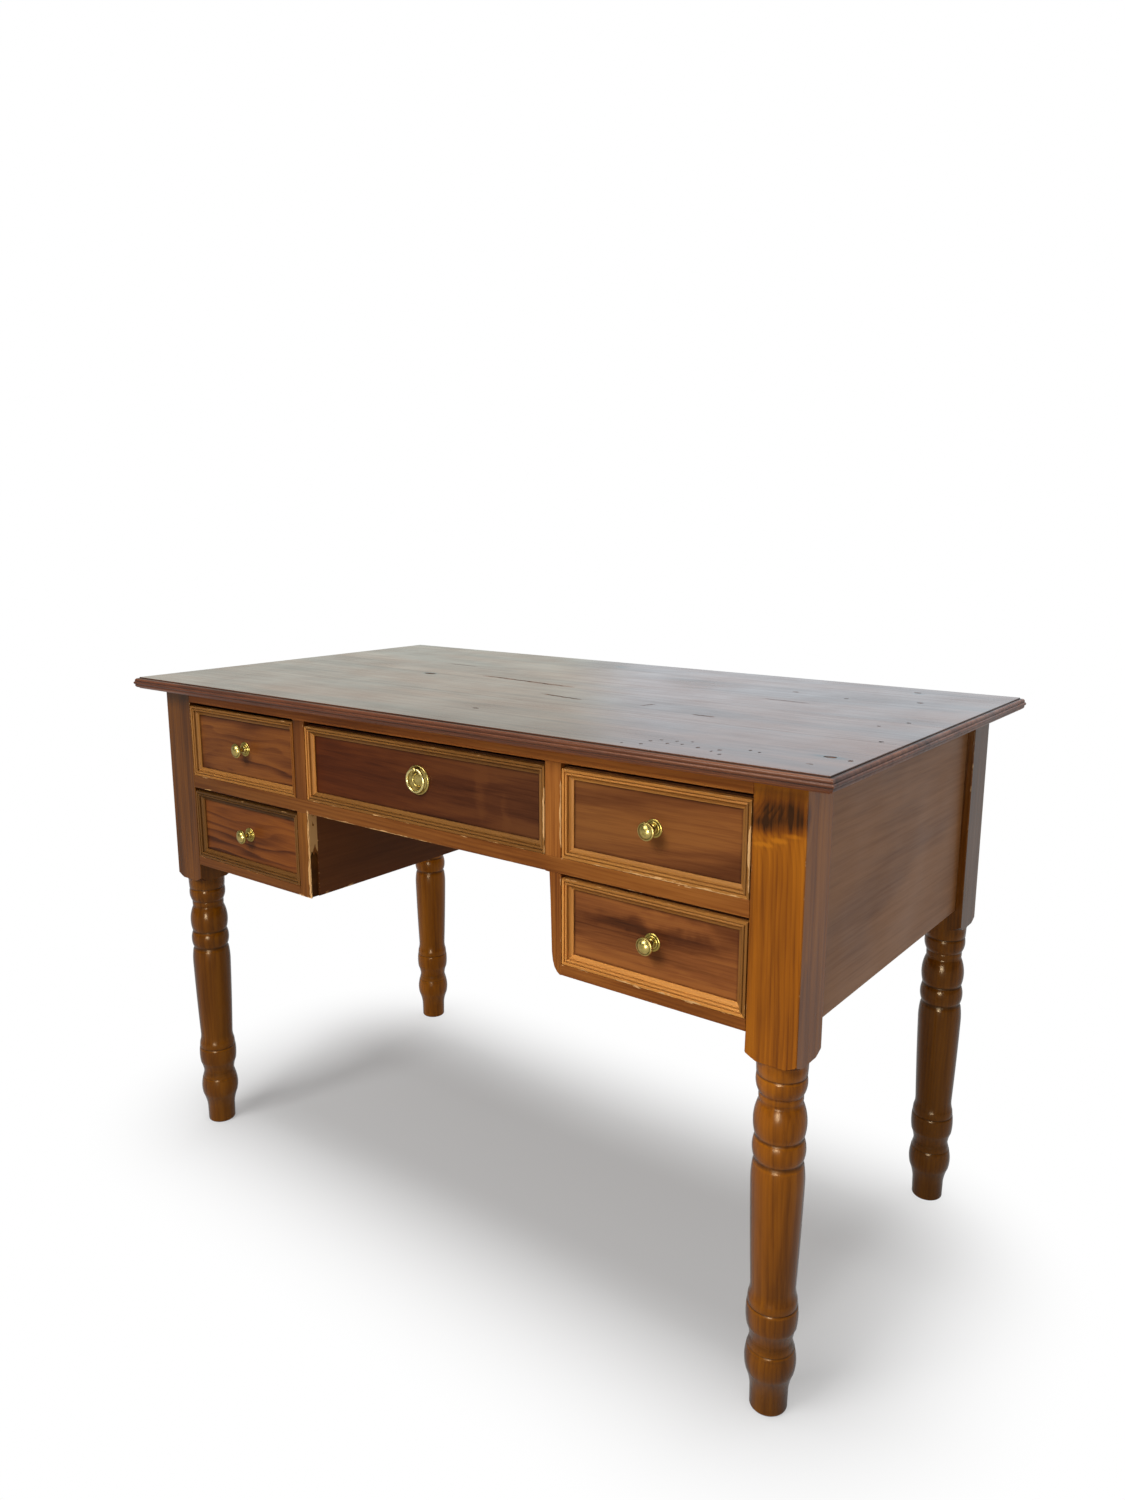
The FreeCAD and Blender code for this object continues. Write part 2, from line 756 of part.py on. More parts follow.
def make_knob(name, x, z):
    """A turned knob whose shank screws into the front through a stamped rosette; gives its bore."""
    seat = s.rosette_thickness
    outline = [
        (ZERO, -s.shank_length),
        (s.shank_radius, -s.shank_length),
        (s.shank_radius, seat),
        (s.knob_radius * KNOB_SHARES[0][0], seat),
    ]
    outline += scaled(KNOB_SHARES, s.knob_radius, s.knob_projection, s.knob_radius)
    knob = turned(f"{name}_knob", outline)
    bore_radius = s.shank_radius + s.bore_gap
    rim = scaled(ROSETTE_SHARES, s.rosette_radius, s.rosette_thickness, s.rosette_thickness)
    rosette = turned(
        f"{name}_rosette",
        [(bore_radius, ZERO), (s.rosette_radius, ZERO)] + rim + [(bore_radius, s.rosette_thickness)])
    for piece in (knob, rosette):
        face_forward(piece)
        place(piece, x, drawer_field, z)
        keep(piece.Label, piece)
    depth = s.shank_length + s.overrun
    return cylinder(f"{name}_bore", bore_radius, depth, x, drawer_field + s.shank_length, z)


def make_ring_pull(name, z):
    """A ring hung from an eye bolt over a round stamped plate; gives the bolt's bore."""
    eye_z = z + s.ring_radius
    eye_y = drawer_field - s.ring_stand_off
    bolt_back = drawer_field + s.bolt_length
    bore_radius = s.bolt_radius + s.bore_gap
    bore = cylinder(f"{name}_bore", bore_radius, s.bolt_length + s.overrun, ZERO, bolt_back, eye_z)
    rings = scaled(PLATE_SHARES, s.plate_radius, s.plate_thickness, s.plate_thickness)
    disc = turned(f"{name}_disc", [(ZERO, ZERO), (s.plate_radius, ZERO)] + rings)
    face_forward(disc)
    place(disc, ZERO, drawer_field, z)
    keep("ring_plate", cut("ring_plate", disc, [bore]))
    shank = cylinder("ring_bolt_shank", s.bolt_radius, bolt_back - eye_y, ZERO, bolt_back, eye_z)
    ball = doc.addObject("Part::Sphere", "ring_bolt_ball")
    ball.setExpression("Radius", s.eye_radius.formula)
    place(ball, ZERO, eye_y, eye_z)
    eye = doc.addObject("Part::Cylinder", "ring_bolt_eye")
    eye.setExpression("Radius", (s.ring_wire + s.eye_gap).formula)
    eye.setExpression("Height", (s.eye_radius * 2).formula)
    along = FreeCAD.Rotation(FreeCAD.Vector(0, 1, 0), 90)
    eye.Placement = FreeCAD.Placement(FreeCAD.Vector(), along)
    place(eye, -s.eye_radius, eye_y, eye_z)
    keep("ring_bolt", cut("ring_bolt", fused("ring_bolt_blank", [shank, ball]), [eye]))
    ring = doc.addObject("Part::Torus", "pull_ring")
    ring.setExpression("Radius1", s.ring_radius.formula)
    ring.setExpression("Radius2", s.ring_wire.formula)
    face_forward(ring)
    place(ring, ZERO, eye_y, z)
    keep("pull_ring", ring)
    return bore


def make_drawers():
    """Two drawers in each pedestal with knobs, and the centre drawer with its ring pull."""
    for side, side_name in SIDE_NAMES.items():
        low = mirrored(side, stile_outer, post_inner)
        high = low + post_inner - stile_outer
        for level, floor, opening in (
            ("upper", upper_floor, s.upper_opening),
            ("lower", lower_floor, s.lower_opening),
        ):
            name = f"{level}_{side_name}"
            bore = make_knob(name, (low + high) / 2, front_middle(floor, opening))
            make_drawer(name, low, high, floor, opening, [bore])
    pull_middle = front_middle(upper_floor, s.upper_opening) + s.pull_lift
    bore = make_ring_pull("centre", pull_middle)
    make_drawer("centre", -knee_half, knee_half, upper_floor, s.upper_opening, [bore])


def check_document():
    """Stop if any object failed, or a sub-part isn't the sound solids that it should be."""
    for item in doc.Objects:
        if "Invalid" in item.State or "Error" in item.State:
            raise RuntimeError(f"{item.Label} failed: {item.State}")
    for label, (piece, solids) in nodes.items():
        shape = piece.Shape
        if shape.isNull() or not shape.isValid():
            raise RuntimeError(f"{label} has no sound shape")
        if len(shape.Solids) != solids:
            raise RuntimeError(f"{label} has {len(shape.Solids)} solids, not {solids}")


def write_parts():
    """Write each sub-part under its own name."""
    os.makedirs("parts", exist_ok=True)
    for label, (piece, _) in nodes.items():
        piece.Shape.exportStep(f"parts/{label}.step")


make_top()
make_supports(make_case())
make_drawers()
doc.recompute()
check_document()
write_parts()
print(f"{len(nodes)} sub-parts written")
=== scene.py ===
"""Looks of a kneehole writing desk on turned legs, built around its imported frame.

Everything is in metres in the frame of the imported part: +Z up, the front faces -Y.
"""

import logging
import math
import random
from contextlib import contextmanager
from dataclasses import dataclass, field, replace
from enum import Enum
from typing import Callable, Iterator, Optional, Sequence, Union

import bmesh
import bpy
from mathutils import Matrix, Vector


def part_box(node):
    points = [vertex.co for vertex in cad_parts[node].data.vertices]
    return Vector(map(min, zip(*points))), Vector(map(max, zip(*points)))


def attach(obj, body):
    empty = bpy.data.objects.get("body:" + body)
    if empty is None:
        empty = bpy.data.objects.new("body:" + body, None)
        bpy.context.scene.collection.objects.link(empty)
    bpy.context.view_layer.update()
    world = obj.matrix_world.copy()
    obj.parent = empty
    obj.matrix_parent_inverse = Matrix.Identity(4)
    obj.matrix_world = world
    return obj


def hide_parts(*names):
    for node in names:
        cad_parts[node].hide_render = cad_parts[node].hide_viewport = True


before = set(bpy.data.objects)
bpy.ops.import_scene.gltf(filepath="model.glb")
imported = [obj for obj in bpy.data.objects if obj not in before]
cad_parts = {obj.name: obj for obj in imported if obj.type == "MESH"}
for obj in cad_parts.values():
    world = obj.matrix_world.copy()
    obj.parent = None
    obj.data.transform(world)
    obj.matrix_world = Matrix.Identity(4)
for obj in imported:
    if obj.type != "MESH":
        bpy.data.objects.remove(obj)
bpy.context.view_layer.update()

log = logging.getLogger("desk")

Colour = tuple[float, float, float]
Outline = list[tuple[float, float]]
Shares = tuple[tuple[float, float, float], ...]
Range = tuple[float, float]
Source = Union[float, Sequence[float], bpy.types.NodeSocket]
Sockets = dict[Union[int, str], Source]
Tone = Union[float, Colour]
EdgeTest = Callable[[bmesh.types.BMEdge], bool]

MERGE_DISTANCE = 0.00001
FLAT_ANGLE = math.radians(0.5)
SHARP_ANGLE = math.radians(30)
FULL_TURN = 2 * math.pi
QUARTER_TURN = math.pi / 2
PARALLEL = 0.999
LEVEL_TOLERANCE = 0.0002
PEBBLE_ROUGHNESS = 0.12
SEED_SIZE = 0.001

# Curve from a screen's colour to a linear one: a straight toe, then a power
SCREEN_FULL = 255
TOE_END = 0.04045
TOE_SLOPE = 12.92
CURVE_SHIFT = 0.055
CURVE_SCALE = 1.055
CURVE_POWER = 2.4


def paint_colour(red: int, green: int, blue: int) -> Colour:
    """Turn a colour as seen on a screen into the linear one that a shader takes.

    Args:
        red: the red of the screen's colour, 0 to 255.
        green: its green.
        blue: its blue.

    Returns:
        The linear colour.
    """
    shares = [channel / SCREEN_FULL for channel in (red, green, blue)]
    return tuple(
        share / TOE_SLOPE if share <= TOE_END else ((share + CURVE_SHIFT) / CURVE_SCALE) ** CURVE_POWER
        for share in shares)


class Axis(Enum):
    """The way that a board's grain runs."""

    X = (0, 1, 2)
    Y = (1, 2, 0)
    Z = (2, 0, 1)

    def turn(self) -> Matrix:
        """Matrix that puts the grain's own direction first."""
        rows = [[1.0 if column == source else 0.0 for column in range(3)] for source in self.value]
        return Matrix(rows).to_4x4()


class Mark(Enum):
    """What a mesh says about its surface, as named values on its faces or points; some marks also carry
    painted light and shade.
    """

    # Crests: worn polish, also standing as painted highlight
    RUBBED = "rubbed"
    # Hollows and soiled faces: soiling, also standing as painted shade in hollows, gaps and along the fields'
    # edges
    GRIME = "grime"
    # Shares of a finish's colour, which in places are painted light and shade
    TONE = "tone"
    GRAIN = "grain"
    SPOT = "spot"
    REACH = "reach"


# Work at the bench


def clear_bench() -> None:
    """Leave nothing selected, so that an operator acts on its own piece alone."""
    for item in bpy.context.selected_objects:
        item.select_set(False)


def take_up(*pieces: bpy.types.Object) -> None:
    """Select some pieces alone and make the first one active.

    Args:
        pieces: what the next operators act on.
    """
    clear_bench()
    for piece in pieces:
        piece.select_set(True)
    bpy.context.view_layer.objects.active = pieces[0]


@contextmanager
def on_bench(piece: bpy.types.Object) -> Iterator[None]:
    """Hold one piece in edit mode with nothing else selected.

    Args:
        piece: the piece to be shaped.

    Yields:
        Nothing, while the piece is in edit mode.
    """
    take_up(piece)
    bpy.ops.object.mode_set(mode="EDIT")
    yield
    bpy.ops.object.mode_set(mode="OBJECT")


def add_vector_mark(piece: bpy.types.Object, mark: Mark, at: Callable[[Vector], Sequence[float]]) -> None:
    """Give each point of a piece a vector worked out from its place.

    Args:
        piece: the piece.
        mark: which mark.
        at: gives the vector at a place.
    """
    layer = piece.data.attributes.new(mark.value, "FLOAT_VECTOR", "POINT")
    values = [part for vertex in piece.data.vertices for part in at(vertex.co)]
    layer.data.foreach_set("vector", values)


def lay_tone(piece: bpy.types.Object, tone: Union[Tone, Callable[[Vector], Tone]]) -> None:
    """Darken, lighten or tint a piece, in places as painted light and shade.

    Args:
        piece: the piece.
        tone: shares of its finish's colour, as one number or three, or what gives them at a place.
    """

    def shares(place: Vector) -> Colour:
        """The three shares at a place."""
        value = tone(place) if callable(tone) else tone
        return value if isinstance(value, tuple) else (value, value, value)

    add_vector_mark(piece, Mark.TONE, shares)


def fading(ends: tuple[Tone, Tone], left: float, right: float) -> Callable[[Vector], Tone]:
    """A tone that changes evenly from left to right.

    Args:
        ends: the tones at the left and at the right.
        left: where the first one lies along X.
        right: where the second one lies.

    Returns:
        What gives the tone at a place.
    """
    first, last = [Vector(tone if isinstance(tone, tuple) else (tone, tone, tone)) for tone in ends]
    return lambda place: tuple(first.lerp(last, (place.x - left) / (right - left)))


def mark_room(piece: bpy.types.Object, low: Vector, high: Vector) -> None:
    """Let each point know how far it is from the arrises of the box that its board fills.

    Args:
        piece: the piece.
        low: the box's lowest corner.
        high: the box's highest corner.
    """
    middle, reach = (low + high) / 2, (high - low) / 2
    add_vector_mark(piece, Mark.SPOT, lambda place: place - middle)
    add_vector_mark(piece, Mark.REACH, lambda place: reach)


def is_arris(edge: bmesh.types.BMEdge) -> bool:
    """Whether an edge is an outer corner of its board."""
    return len(edge.link_faces) == 2 and edge.is_convex and edge.calc_face_angle() > SHARP_ANGLE


def runs_along(edge: bmesh.types.BMEdge, axis: int) -> bool:
    """Whether an edge is parallel to the axis of that number."""
    way = (edge.verts[1].co - edge.verts[0].co).normalized()
    return abs(way[axis]) > PARALLEL


def lies_at(edge: bmesh.types.BMEdge, axis: int, level: float) -> bool:
    """Whether both ends of an edge are at a level of the axis of that number."""
    return all(abs(vertex.co[axis] - level) < LEVEL_TOLERANCE for vertex in edge.verts)


def select_edges(piece: bpy.types.Object, wanted: EdgeTest) -> None:
    """Select the edges of the piece on the bench that pass a test.

    Args:
        piece: the piece in edit mode.
        wanted: the test.
    """
    bpy.ops.mesh.select_mode(type="EDGE")
    bpy.ops.mesh.select_all(action="DESELECT")
    shape = bmesh.from_edit_mesh(piece.data)
    for edge in shape.edges:
        if wanted(edge):
            edge.select_set(True)
    shape.select_flush_mode()
    bmesh.update_edit_mesh(piece.data)


def ease(piece: bpy.types.Object, width: float, wanted: EdgeTest, segments: int = 2) -> None:
    """Round some arrises of the piece on the bench, and leave the new faces selected.

    Args:
        piece: the piece in edit mode.
        width: how far the rounding reaches into the faces.
        wanted: which arrises.
        segments: faces across the rounding.
    """
    select_edges(piece, lambda edge: is_arris(edge) and wanted(edge))
    bpy.ops.mesh.bevel(
        offset=width, offset_type="OFFSET", segments=segments, affect="EDGES", clamp_overlap=True)


def soil(piece: bpy.types.Object, amount: float) -> None:
    """Mark the selected faces of the piece on the bench as dirty; on the gaps' faces over the drawers this
    also stands as painted shade.

    Args:
        piece: the piece in edit mode.
        amount: how dirty they are.
    """
    shape = bmesh.from_edit_mesh(piece.data)
    layer = shape.faces.layers.float.get(Mark.GRIME.value) or shape.faces.layers.float.new(Mark.GRIME.value)
    for face in shape.faces:
        if face.select:
            face[layer] = amount
    bmesh.update_edit_mesh(piece.data)


def settle() -> None:
    """Put the place of what is selected into its mesh."""
    bpy.ops.object.transform_apply(location=True, rotation=True, scale=True)


def weld() -> None:
    """Merge the loose triangles on the bench and dissolve what lies flat between them."""
    bpy.ops.mesh.select_all(action="SELECT")
    bpy.ops.mesh.remove_doubles(threshold=MERGE_DISTANCE)
    bpy.ops.mesh.dissolve_limited(angle_limit=FLAT_ANGLE)


def close_up() -> None:
    """Merge doubled points on the bench and turn every face outwards."""
    bpy.ops.mesh.select_all(action="SELECT")
    bpy.ops.mesh.remove_doubles(threshold=MERGE_DISTANCE)
    bpy.ops.mesh.normals_make_consistent(inside=False)


def copy_of_node(node: str) -> bpy.types.Object:
    """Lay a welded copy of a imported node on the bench.

    Args:
        node: the node's name.

    Returns:
        The new piece, with no material and plain normals.
    """
    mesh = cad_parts[node].data.copy()
    mesh.materials.clear()
    piece = bpy.data.objects.new(f"{node}_look", mesh)
    bpy.context.scene.collection.objects.link(piece)
    take_up(piece)
    bpy.ops.mesh.customdata_custom_splitnormals_clear()
    with on_bench(piece):
        weld()
    return piece


def smooth(piece: bpy.types.Object, angle: float = SHARP_ANGLE, flat_faces: bool = True) -> None:
    """Shade a piece smooth up to an angle, with flat faces kept flat.

    Args:
        piece: the piece.
        angle: the least angle that stays a sharp edge.
        flat_faces: whether large faces pull the normals flat.
    """
    take_up(piece)
    bpy.ops.object.shade_smooth_by_angle(angle=angle)
    if flat_faces:
        modifier = piece.modifiers.new("flat_faces", "WEIGHTED_NORMAL")
        modifier.keep_sharp = True
        bpy.ops.object.modifier_apply(modifier=modifier.name)


def bowed(rows: Shares, across: float, along: float, bow: float, steps: int) -> Outline:
    """Turn rows of shares into an outline whose bowed stretches are rounded.

    Args:
        rows: position across, position along and bow of the stretch that follows, as shares.
        across: length that the first share is of.
        along: length that the second share is of.
        bow: length that the third share is of.
        steps: points on a bowed stretch.

    Returns:
        The points of the outline.
    """
    points: Outline = []
    for (u, v, stretch_bow), (next_u, next_v, _) in zip(rows, rows[1:]):
        start = Vector((u * across, v * along))
        chord = Vector((next_u * across, next_v * along)) - start
        outwards = Vector((chord.y, -chord.x)).normalized()
        count = steps if stretch_bow else 1
        for step in range(count):
            share = step / count
            lift = 4 * stretch_bow * bow * share * (1 - share)
            points.append(tuple(start + chord * share + outwards * lift))
    points.append((rows[-1][0] * across, rows[-1][1] * along))
    return points


def chain(name: str, points: Sequence[Vector]) -> bpy.types.Object:
    """Draw a chain of points by extruding a single point again and again.

    Args:
        name: name of the new piece.
        points: the places of the chain.

    Returns:
        The new piece, with nothing but the chain.
    """
    clear_bench()
    bpy.ops.mesh.primitive_plane_add(size=SEED_SIZE, location=points[0])
    piece = bpy.context.active_object
    piece.name = name
    settle()
    with on_bench(piece):
        bpy.ops.mesh.select_mode(type="VERT")
        bpy.ops.mesh.select_all(action="SELECT")
        bpy.ops.mesh.merge(type="CENTER")
        for here, there in zip(points, points[1:]):
            bpy.ops.mesh.extrude_vertices_move(TRANSFORM_OT_translate={"value": there - here})
    return piece


def turned(name: str, outline: Outline, centre: Vector, up: Vector, out: Vector,
           steps: int) -> bpy.types.Object:
    """Turn an outline of radius and height on the lathe.

    Args:
        name: name of the new piece.
        outline: radius and height of each point.
        centre: where the height starts.
        up: the way that the height runs.
        out: the way that the radius runs at the start of the turn.
        steps: faces round the turning.

    Returns:
        The new closed piece.
    """
    piece = chain(name, [centre + out * radius + up * height for radius, height in outline])
    with on_bench(piece):
        bpy.ops.mesh.select_all(action="SELECT")
        bpy.ops.mesh.spin(steps=steps, angle=FULL_TURN, center=centre, axis=up)
        close_up()
    return piece


def repeat(piece: bpy.types.Object, name: str, offset: Vector) -> bpy.types.Object:
    """Copy a finished piece to another place, with its own mesh.

    Args:
        piece: the piece that was modelled.
        name: name of the copy.
        offset: how far the copy is moved.

    Returns:
        The copy.
    """
    take_up(piece)
    bpy.ops.object.duplicate()
    copy = bpy.context.active_object
    copy.name = name
    bpy.ops.transform.translate(value=offset)
    settle()
    return copy


def join(name: str, *pieces: bpy.types.Object) -> bpy.types.Object:
    """Join pieces into the first one.

    Args:
        name: name of the whole.
        pieces: what is joined.

    Returns:
        The whole.
    """
    take_up(*pieces)
    bpy.ops.object.join()
    pieces[0].name = name
    return pieces[0]


def block(name: str, corners: Sequence[Vector], way: Vector, dirt_and_shade: float) -> bpy.types.Object:
    """Make a cutting block from a face and a way to draw it.

    Args:
        name: the block's name.
        corners: the face's corners in order.
        way: how far and where the face is drawn.
        dirt_and_shade: how dirty the faces that it cuts are; over the drawers' gaps this also stands as
            painted shade.

    Returns:
        The block.
    """
    piece = chain(name, corners)
    with on_bench(piece):
        bpy.ops.mesh.select_all(action="SELECT")
        bpy.ops.mesh.edge_face_add()
        bpy.ops.mesh.extrude_region_move(TRANSFORM_OT_translate={"value": way})
        close_up()
        soil(piece, dirt_and_shade)
    return piece


def pebble(name: str, middle: Vector, reach: Sequence[float], dirt_and_shade: float) -> bpy.types.Object:
    """Make a round cutting block.

    Args:
        name: the block's name.
        middle: its middle.
        reach: how far it reaches along each axis.
        dirt_and_shade: how dirty the faces that it cuts are.

    Returns:
        The block.
    """
    clear_bench()
    bpy.ops.mesh.primitive_ico_sphere_add(subdivisions=3, radius=1.0, location=middle, scale=reach)
    piece = bpy.context.active_object
    piece.name = name
    settle()
    with on_bench(piece):
        bpy.ops.mesh.select_all(action="SELECT")
        bpy.ops.transform.vertex_random(offset=PEBBLE_ROUGHNESS * min(reach), seed=len(name))
        soil(piece, dirt_and_shade)
    return piece


def cut_away(piece: bpy.types.Object, tools: Sequence[bpy.types.Object]) -> None:
    """Cut some blocks out of a piece.

    Args:
        piece: the piece.
        tools: the blocks, which are used up.
    """
    with on_bench(piece):
        bpy.ops.mesh.select_all(action="DESELECT")
        soil(piece, 0.0)
    for tool in tools:
        take_up(piece)
        modifier = piece.modifiers.new("cut", "BOOLEAN")
        modifier.operation = "DIFFERENCE"
        modifier.solver = "EXACT"
        modifier.object = tool
        bpy.ops.object.modifier_apply(modifier=modifier.name)
    for tool in tools:
        bpy.data.objects.remove(tool)


def mark_hollows(piece: bpy.types.Object, full: float) -> None:
    """Mark crests, where polish wears off and which also stand as painted highlight, and hollows, where
    soiling gathers and painted shade is laid, from how each point's edges fold.

    Args:
        piece: the piece.
        full: the fold that gives the whole mark, in radians.
    """
    shape = bmesh.new()
    shape.from_mesh(piece.data)
    crests, hollows = [], []
    for vertex in shape.verts:
        folds = [edge.calc_face_angle_signed(0.0) for edge in vertex.link_edges]
        crests.append(min(1.0, max(0.0, max(folds, default=0.0) / full)))
        hollows.append(min(1.0, max(0.0, -min(folds, default=0.0) / full)))
    shape.free()
    for mark, values in ((Mark.RUBBED, crests), (Mark.GRIME, hollows)):
        layer = piece.data.attributes.new(mark.value, "FLOAT", "POINT")
        layer.data.foreach_set("value", values)


@dataclass(frozen=True)
class Grain:
    """How a piece was sawn from its log."""

    axis: Axis
    pith: tuple[float, float]
    lean: float = 0.8
    stretch: Range = (1.0, 9.0)
    lean_shares: Range = (0.5, 1.0)

    def lay(self, piece: bpy.types.Object) -> None:
        """Write each point's place in the log: along it, and across it from the heart.

        Args:
            piece: the piece, whose name settles which stretch of the log it is.
        """
        draw = random.Random(piece.name)
        corners = [Vector(corner) for corner in piece.bound_box]
        middle = (corners[0] + corners[6]) / 2
        along = draw.uniform(*self.stretch)
        leans = [math.radians(self.lean * draw.choice((-1.0, 1.0)) * draw.uniform(*self.lean_shares))
                 for _ in range(2)]
        log_place = (
            Matrix.Translation((along, *self.pith))
            @ Matrix.Rotation(leans[0], 4, "Z")
            @ Matrix.Rotation(leans[1], 4, "Y")
            @ self.axis.turn()
            @ Matrix.Translation(-middle)
        )
        add_vector_mark(piece, Mark.GRAIN, lambda place: log_place @ place)


# Finishes


class Sheet:
    """Lays out and links the nodes of one material, or of the surroundings."""

    def __init__(self, owner: Union[bpy.types.Material, bpy.types.World]) -> None:
        """Start with no nodes.

        Args:
            owner: the material or the surroundings that the nodes belong to.
        """
        owner.use_nodes = True
        self.owner = owner
        self.tree = owner.node_tree
        self.tree.nodes.clear()

    def add(self, kind: str, inputs: Optional[Sockets] = None,
            **settings: Union[str, bool]) -> bpy.types.Node:
        """Add a node, set it up and feed its sockets.

        Args:
            kind: the node's kind.
            inputs: a value or a source for each socket named.
            settings: the node's own settings.

        Returns:
            The node.
        """
        node = self.tree.nodes.new(f"ShaderNode{kind}")
        for setting, value in settings.items():
            setattr(node, setting, value)
        for socket, value in (inputs or {}).items():
            self.feed(node.inputs[socket], value)
        return node

    def feed(self, socket: bpy.types.NodeSocket, value: Source) -> None:
        """Link a socket to its source, or set its plain value.

        Args:
            socket: the socket.
            value: a source or a plain value.
        """
        if isinstance(value, bpy.types.NodeSocket):
            self.tree.links.new(value, socket)
        else:
            socket.default_value = value

    def mark(self, mark: Mark, output: str = "Fac") -> bpy.types.NodeSocket:
        """A mark that the mesh carries."""
        return self.add("Attribute", attribute_name=mark.value).outputs[output]

    def place(self) -> bpy.types.NodeSocket:
        """The place on the desk."""
        return self.add("TexCoord").outputs["Object"]

    def math(self, operation: str, *values: Source, clamp: bool = False) -> bpy.types.NodeSocket:
        """A sum of numbers."""
        node = self.add("Math", dict(enumerate(values)), operation=operation, use_clamp=clamp)
        return node.outputs[0]

    def vector(self, operation: str, *values: Source) -> bpy.types.NodeSocket:
        """A sum of vectors."""
        return self.add("VectorMath", dict(enumerate(values)), operation=operation).outputs[0]

    def dot(self, first: Source, second: Source) -> bpy.types.NodeSocket:
        """How far one vector points along another."""
        return self.add("VectorMath", {0: first, 1: second}, operation="DOT_PRODUCT").outputs["Value"]

    def length(self, value: Source) -> bpy.types.NodeSocket:
        """The length of a vector."""
        return self.add("VectorMath", {0: value}, operation="LENGTH").outputs["Value"]

    def noise(self, place: Source, stretch: Sequence[float], detail: float = 2.0, roughness: float = 0.5,
              distortion: float = 0.0, output: int = 0) -> bpy.types.NodeSocket:
        """Cloudy noise, drawn out along the axes.

        Args:
            place: where it is read.
            stretch: how many patches there are to a metre along each axis.
            detail: octaves.
            roughness: weight of the finer octaves.
            distortion: how far it is stirred.
            output: 0 for a number, 1 for a colour.

        Returns:
            The noise, about 0.5 in the middle.
        """
        drawn = self.vector("MULTIPLY", place, stretch)
        inputs = {
            "Vector": drawn,
            "Scale": 1.0,
            "Detail": detail,
            "Roughness": roughness,
            "Distortion": distortion,
        }
        return self.add("TexNoise", inputs).outputs[output]

    def between(self, value: Source, low: float, high: float, start: float = 0.0,
                end: float = 1.0) -> bpy.types.NodeSocket:
        """Carry a number from one range to another, easing in and out.

        Args:
            value: the number.
            low: where the first range starts.
            high: where it ends.
            start: where the second range starts.
            end: where it ends.

        Returns:
            The carried number, kept within the second range.
        """
        inputs = {"Value": value, "From Min": low, "From Max": high, "To Min": start, "To Max": end}
        return self.add("MapRange", inputs, interpolation_type="SMOOTHSTEP", clamp=True).outputs[0]

    def ramp(self, value: Source, stops: Sequence[tuple[float, Colour]]) -> bpy.types.NodeSocket:
        """A colour for each number, from a row of stops.

        Args:
            value: the number.
            stops: numbers and their colours.

        Returns:
            The colour.
        """
        node = self.add("ValToRGB", {0: value})
        elements = node.color_ramp.elements
        while len(elements) < len(stops):
            elements.new(1.0)
        for element, (position, colour) in zip(elements, stops):
            element.position = position
            element.color = (*colour, 1.0)
        return node.outputs[0]

    def mix(self, share: Source, first: Source, second: Source, blend: str = "MIX") -> bpy.types.NodeSocket:
        """One colour laid over another.

        Args:
            share: how much of the second shows.
            first: the colour below.
            second: the colour above.
            blend: how they meet.

        Returns:
            The mixed colour.
        """
        colours = [(*value, 1.0) if isinstance(value, tuple) else value for value in (first, second)]
        sockets = {0: share, 6: colours[0], 7: colours[1]}
        return self.add("Mix", sockets, data_type="RGBA", blend_type=blend).outputs[2]

    def surface(self, inputs: dict[str, Source]) -> bpy.types.Material:
        """End the sheet in one glossy surface.

        Args:
            inputs: what its sockets get.

        Returns:
            The finished material.
        """
        shader = self.add("BsdfPrincipled", inputs)
        self.end(shader, "OutputMaterial")
        return self.owner

    def end(self, shader: bpy.types.Node, kind: str) -> None:
        """End the sheet in an output of that kind."""
        self.add(kind, {"Surface": shader.outputs[0]})


class GrainSource(Enum):
    """Where a wood finish reads its place in the log from."""

    LOG = "the piece's own mark"
    DESK = "the place on the desk"


@dataclass(frozen=True)
class Knot:
    """A knot or a stain at one place of the desk."""

    centre: tuple[float, float, float]
    reach: tuple[float, float, float]
    depth: float = 0.6
    push: float = 2.0


# Noise of the wood, in patches to a metre: along the log and across it
FIBRE_COUNT = (16.0, 640.0, 640.0)
RING_COUNT = (4.0, 34.0, 34.0)
RING_FADE_COUNT = (1.6, 22.0, 22.0)
CHIP_COUNT = (40.0, 230.0, 230.0)

# Noise on the desk, in patches to a metre along each axis
STIR_COUNT = (32.0, 32.0, 32.0)
SMEAR_COUNT = (9.0, 9.0, 9.0)
GRIME_AND_SHADE_COUNT = (55.0, 55.0, 55.0)
CLOUD_COUNT = (260.0, 260.0, 260.0)
SCRATCH_COUNT = (2600.0, 900.0, 900.0)
NOISE_MIDDLE = 0.5
CLOUD_MIDDLE = (NOISE_MIDDLE,) * 3

# Stretches of a number over which a mark of the wood comes up, and where it goes
BLOTCH_RISE = (0.34, 0.70)
STREAK_RISE = (0.32, 0.74)
RING_RISE = (0.25, 0.90)
RING_FALL = (0.91, 1.0, 1.0, 0.0)
RING_FADE = (0.34, 0.62, 0.25, 1.0)
GRIME_AND_SHADE_FADE = (0.25, 0.6, 0.55, 1.0)
# Soiling with painted shade: how far a field darkens in from its moulding, and how much
FIELD_EDGE_GRIME_AND_SHADE = (0.0, 0.004, 0.6, 0.0)
# Painted shade: how far from facing the viewer the wood starts and ends darkening towards its silhouette
PAINTED_LIMB_SHADE_RISE = (0.4, 0.95)
RING_UNEVENNESS = 2.8

# Spots: the share of the reach that is full, and how far stains and pushed rings go
SPOT_CORE = 0.2
STAIN_SPREAD = 1.0
PUSH_SPREAD = 2.2

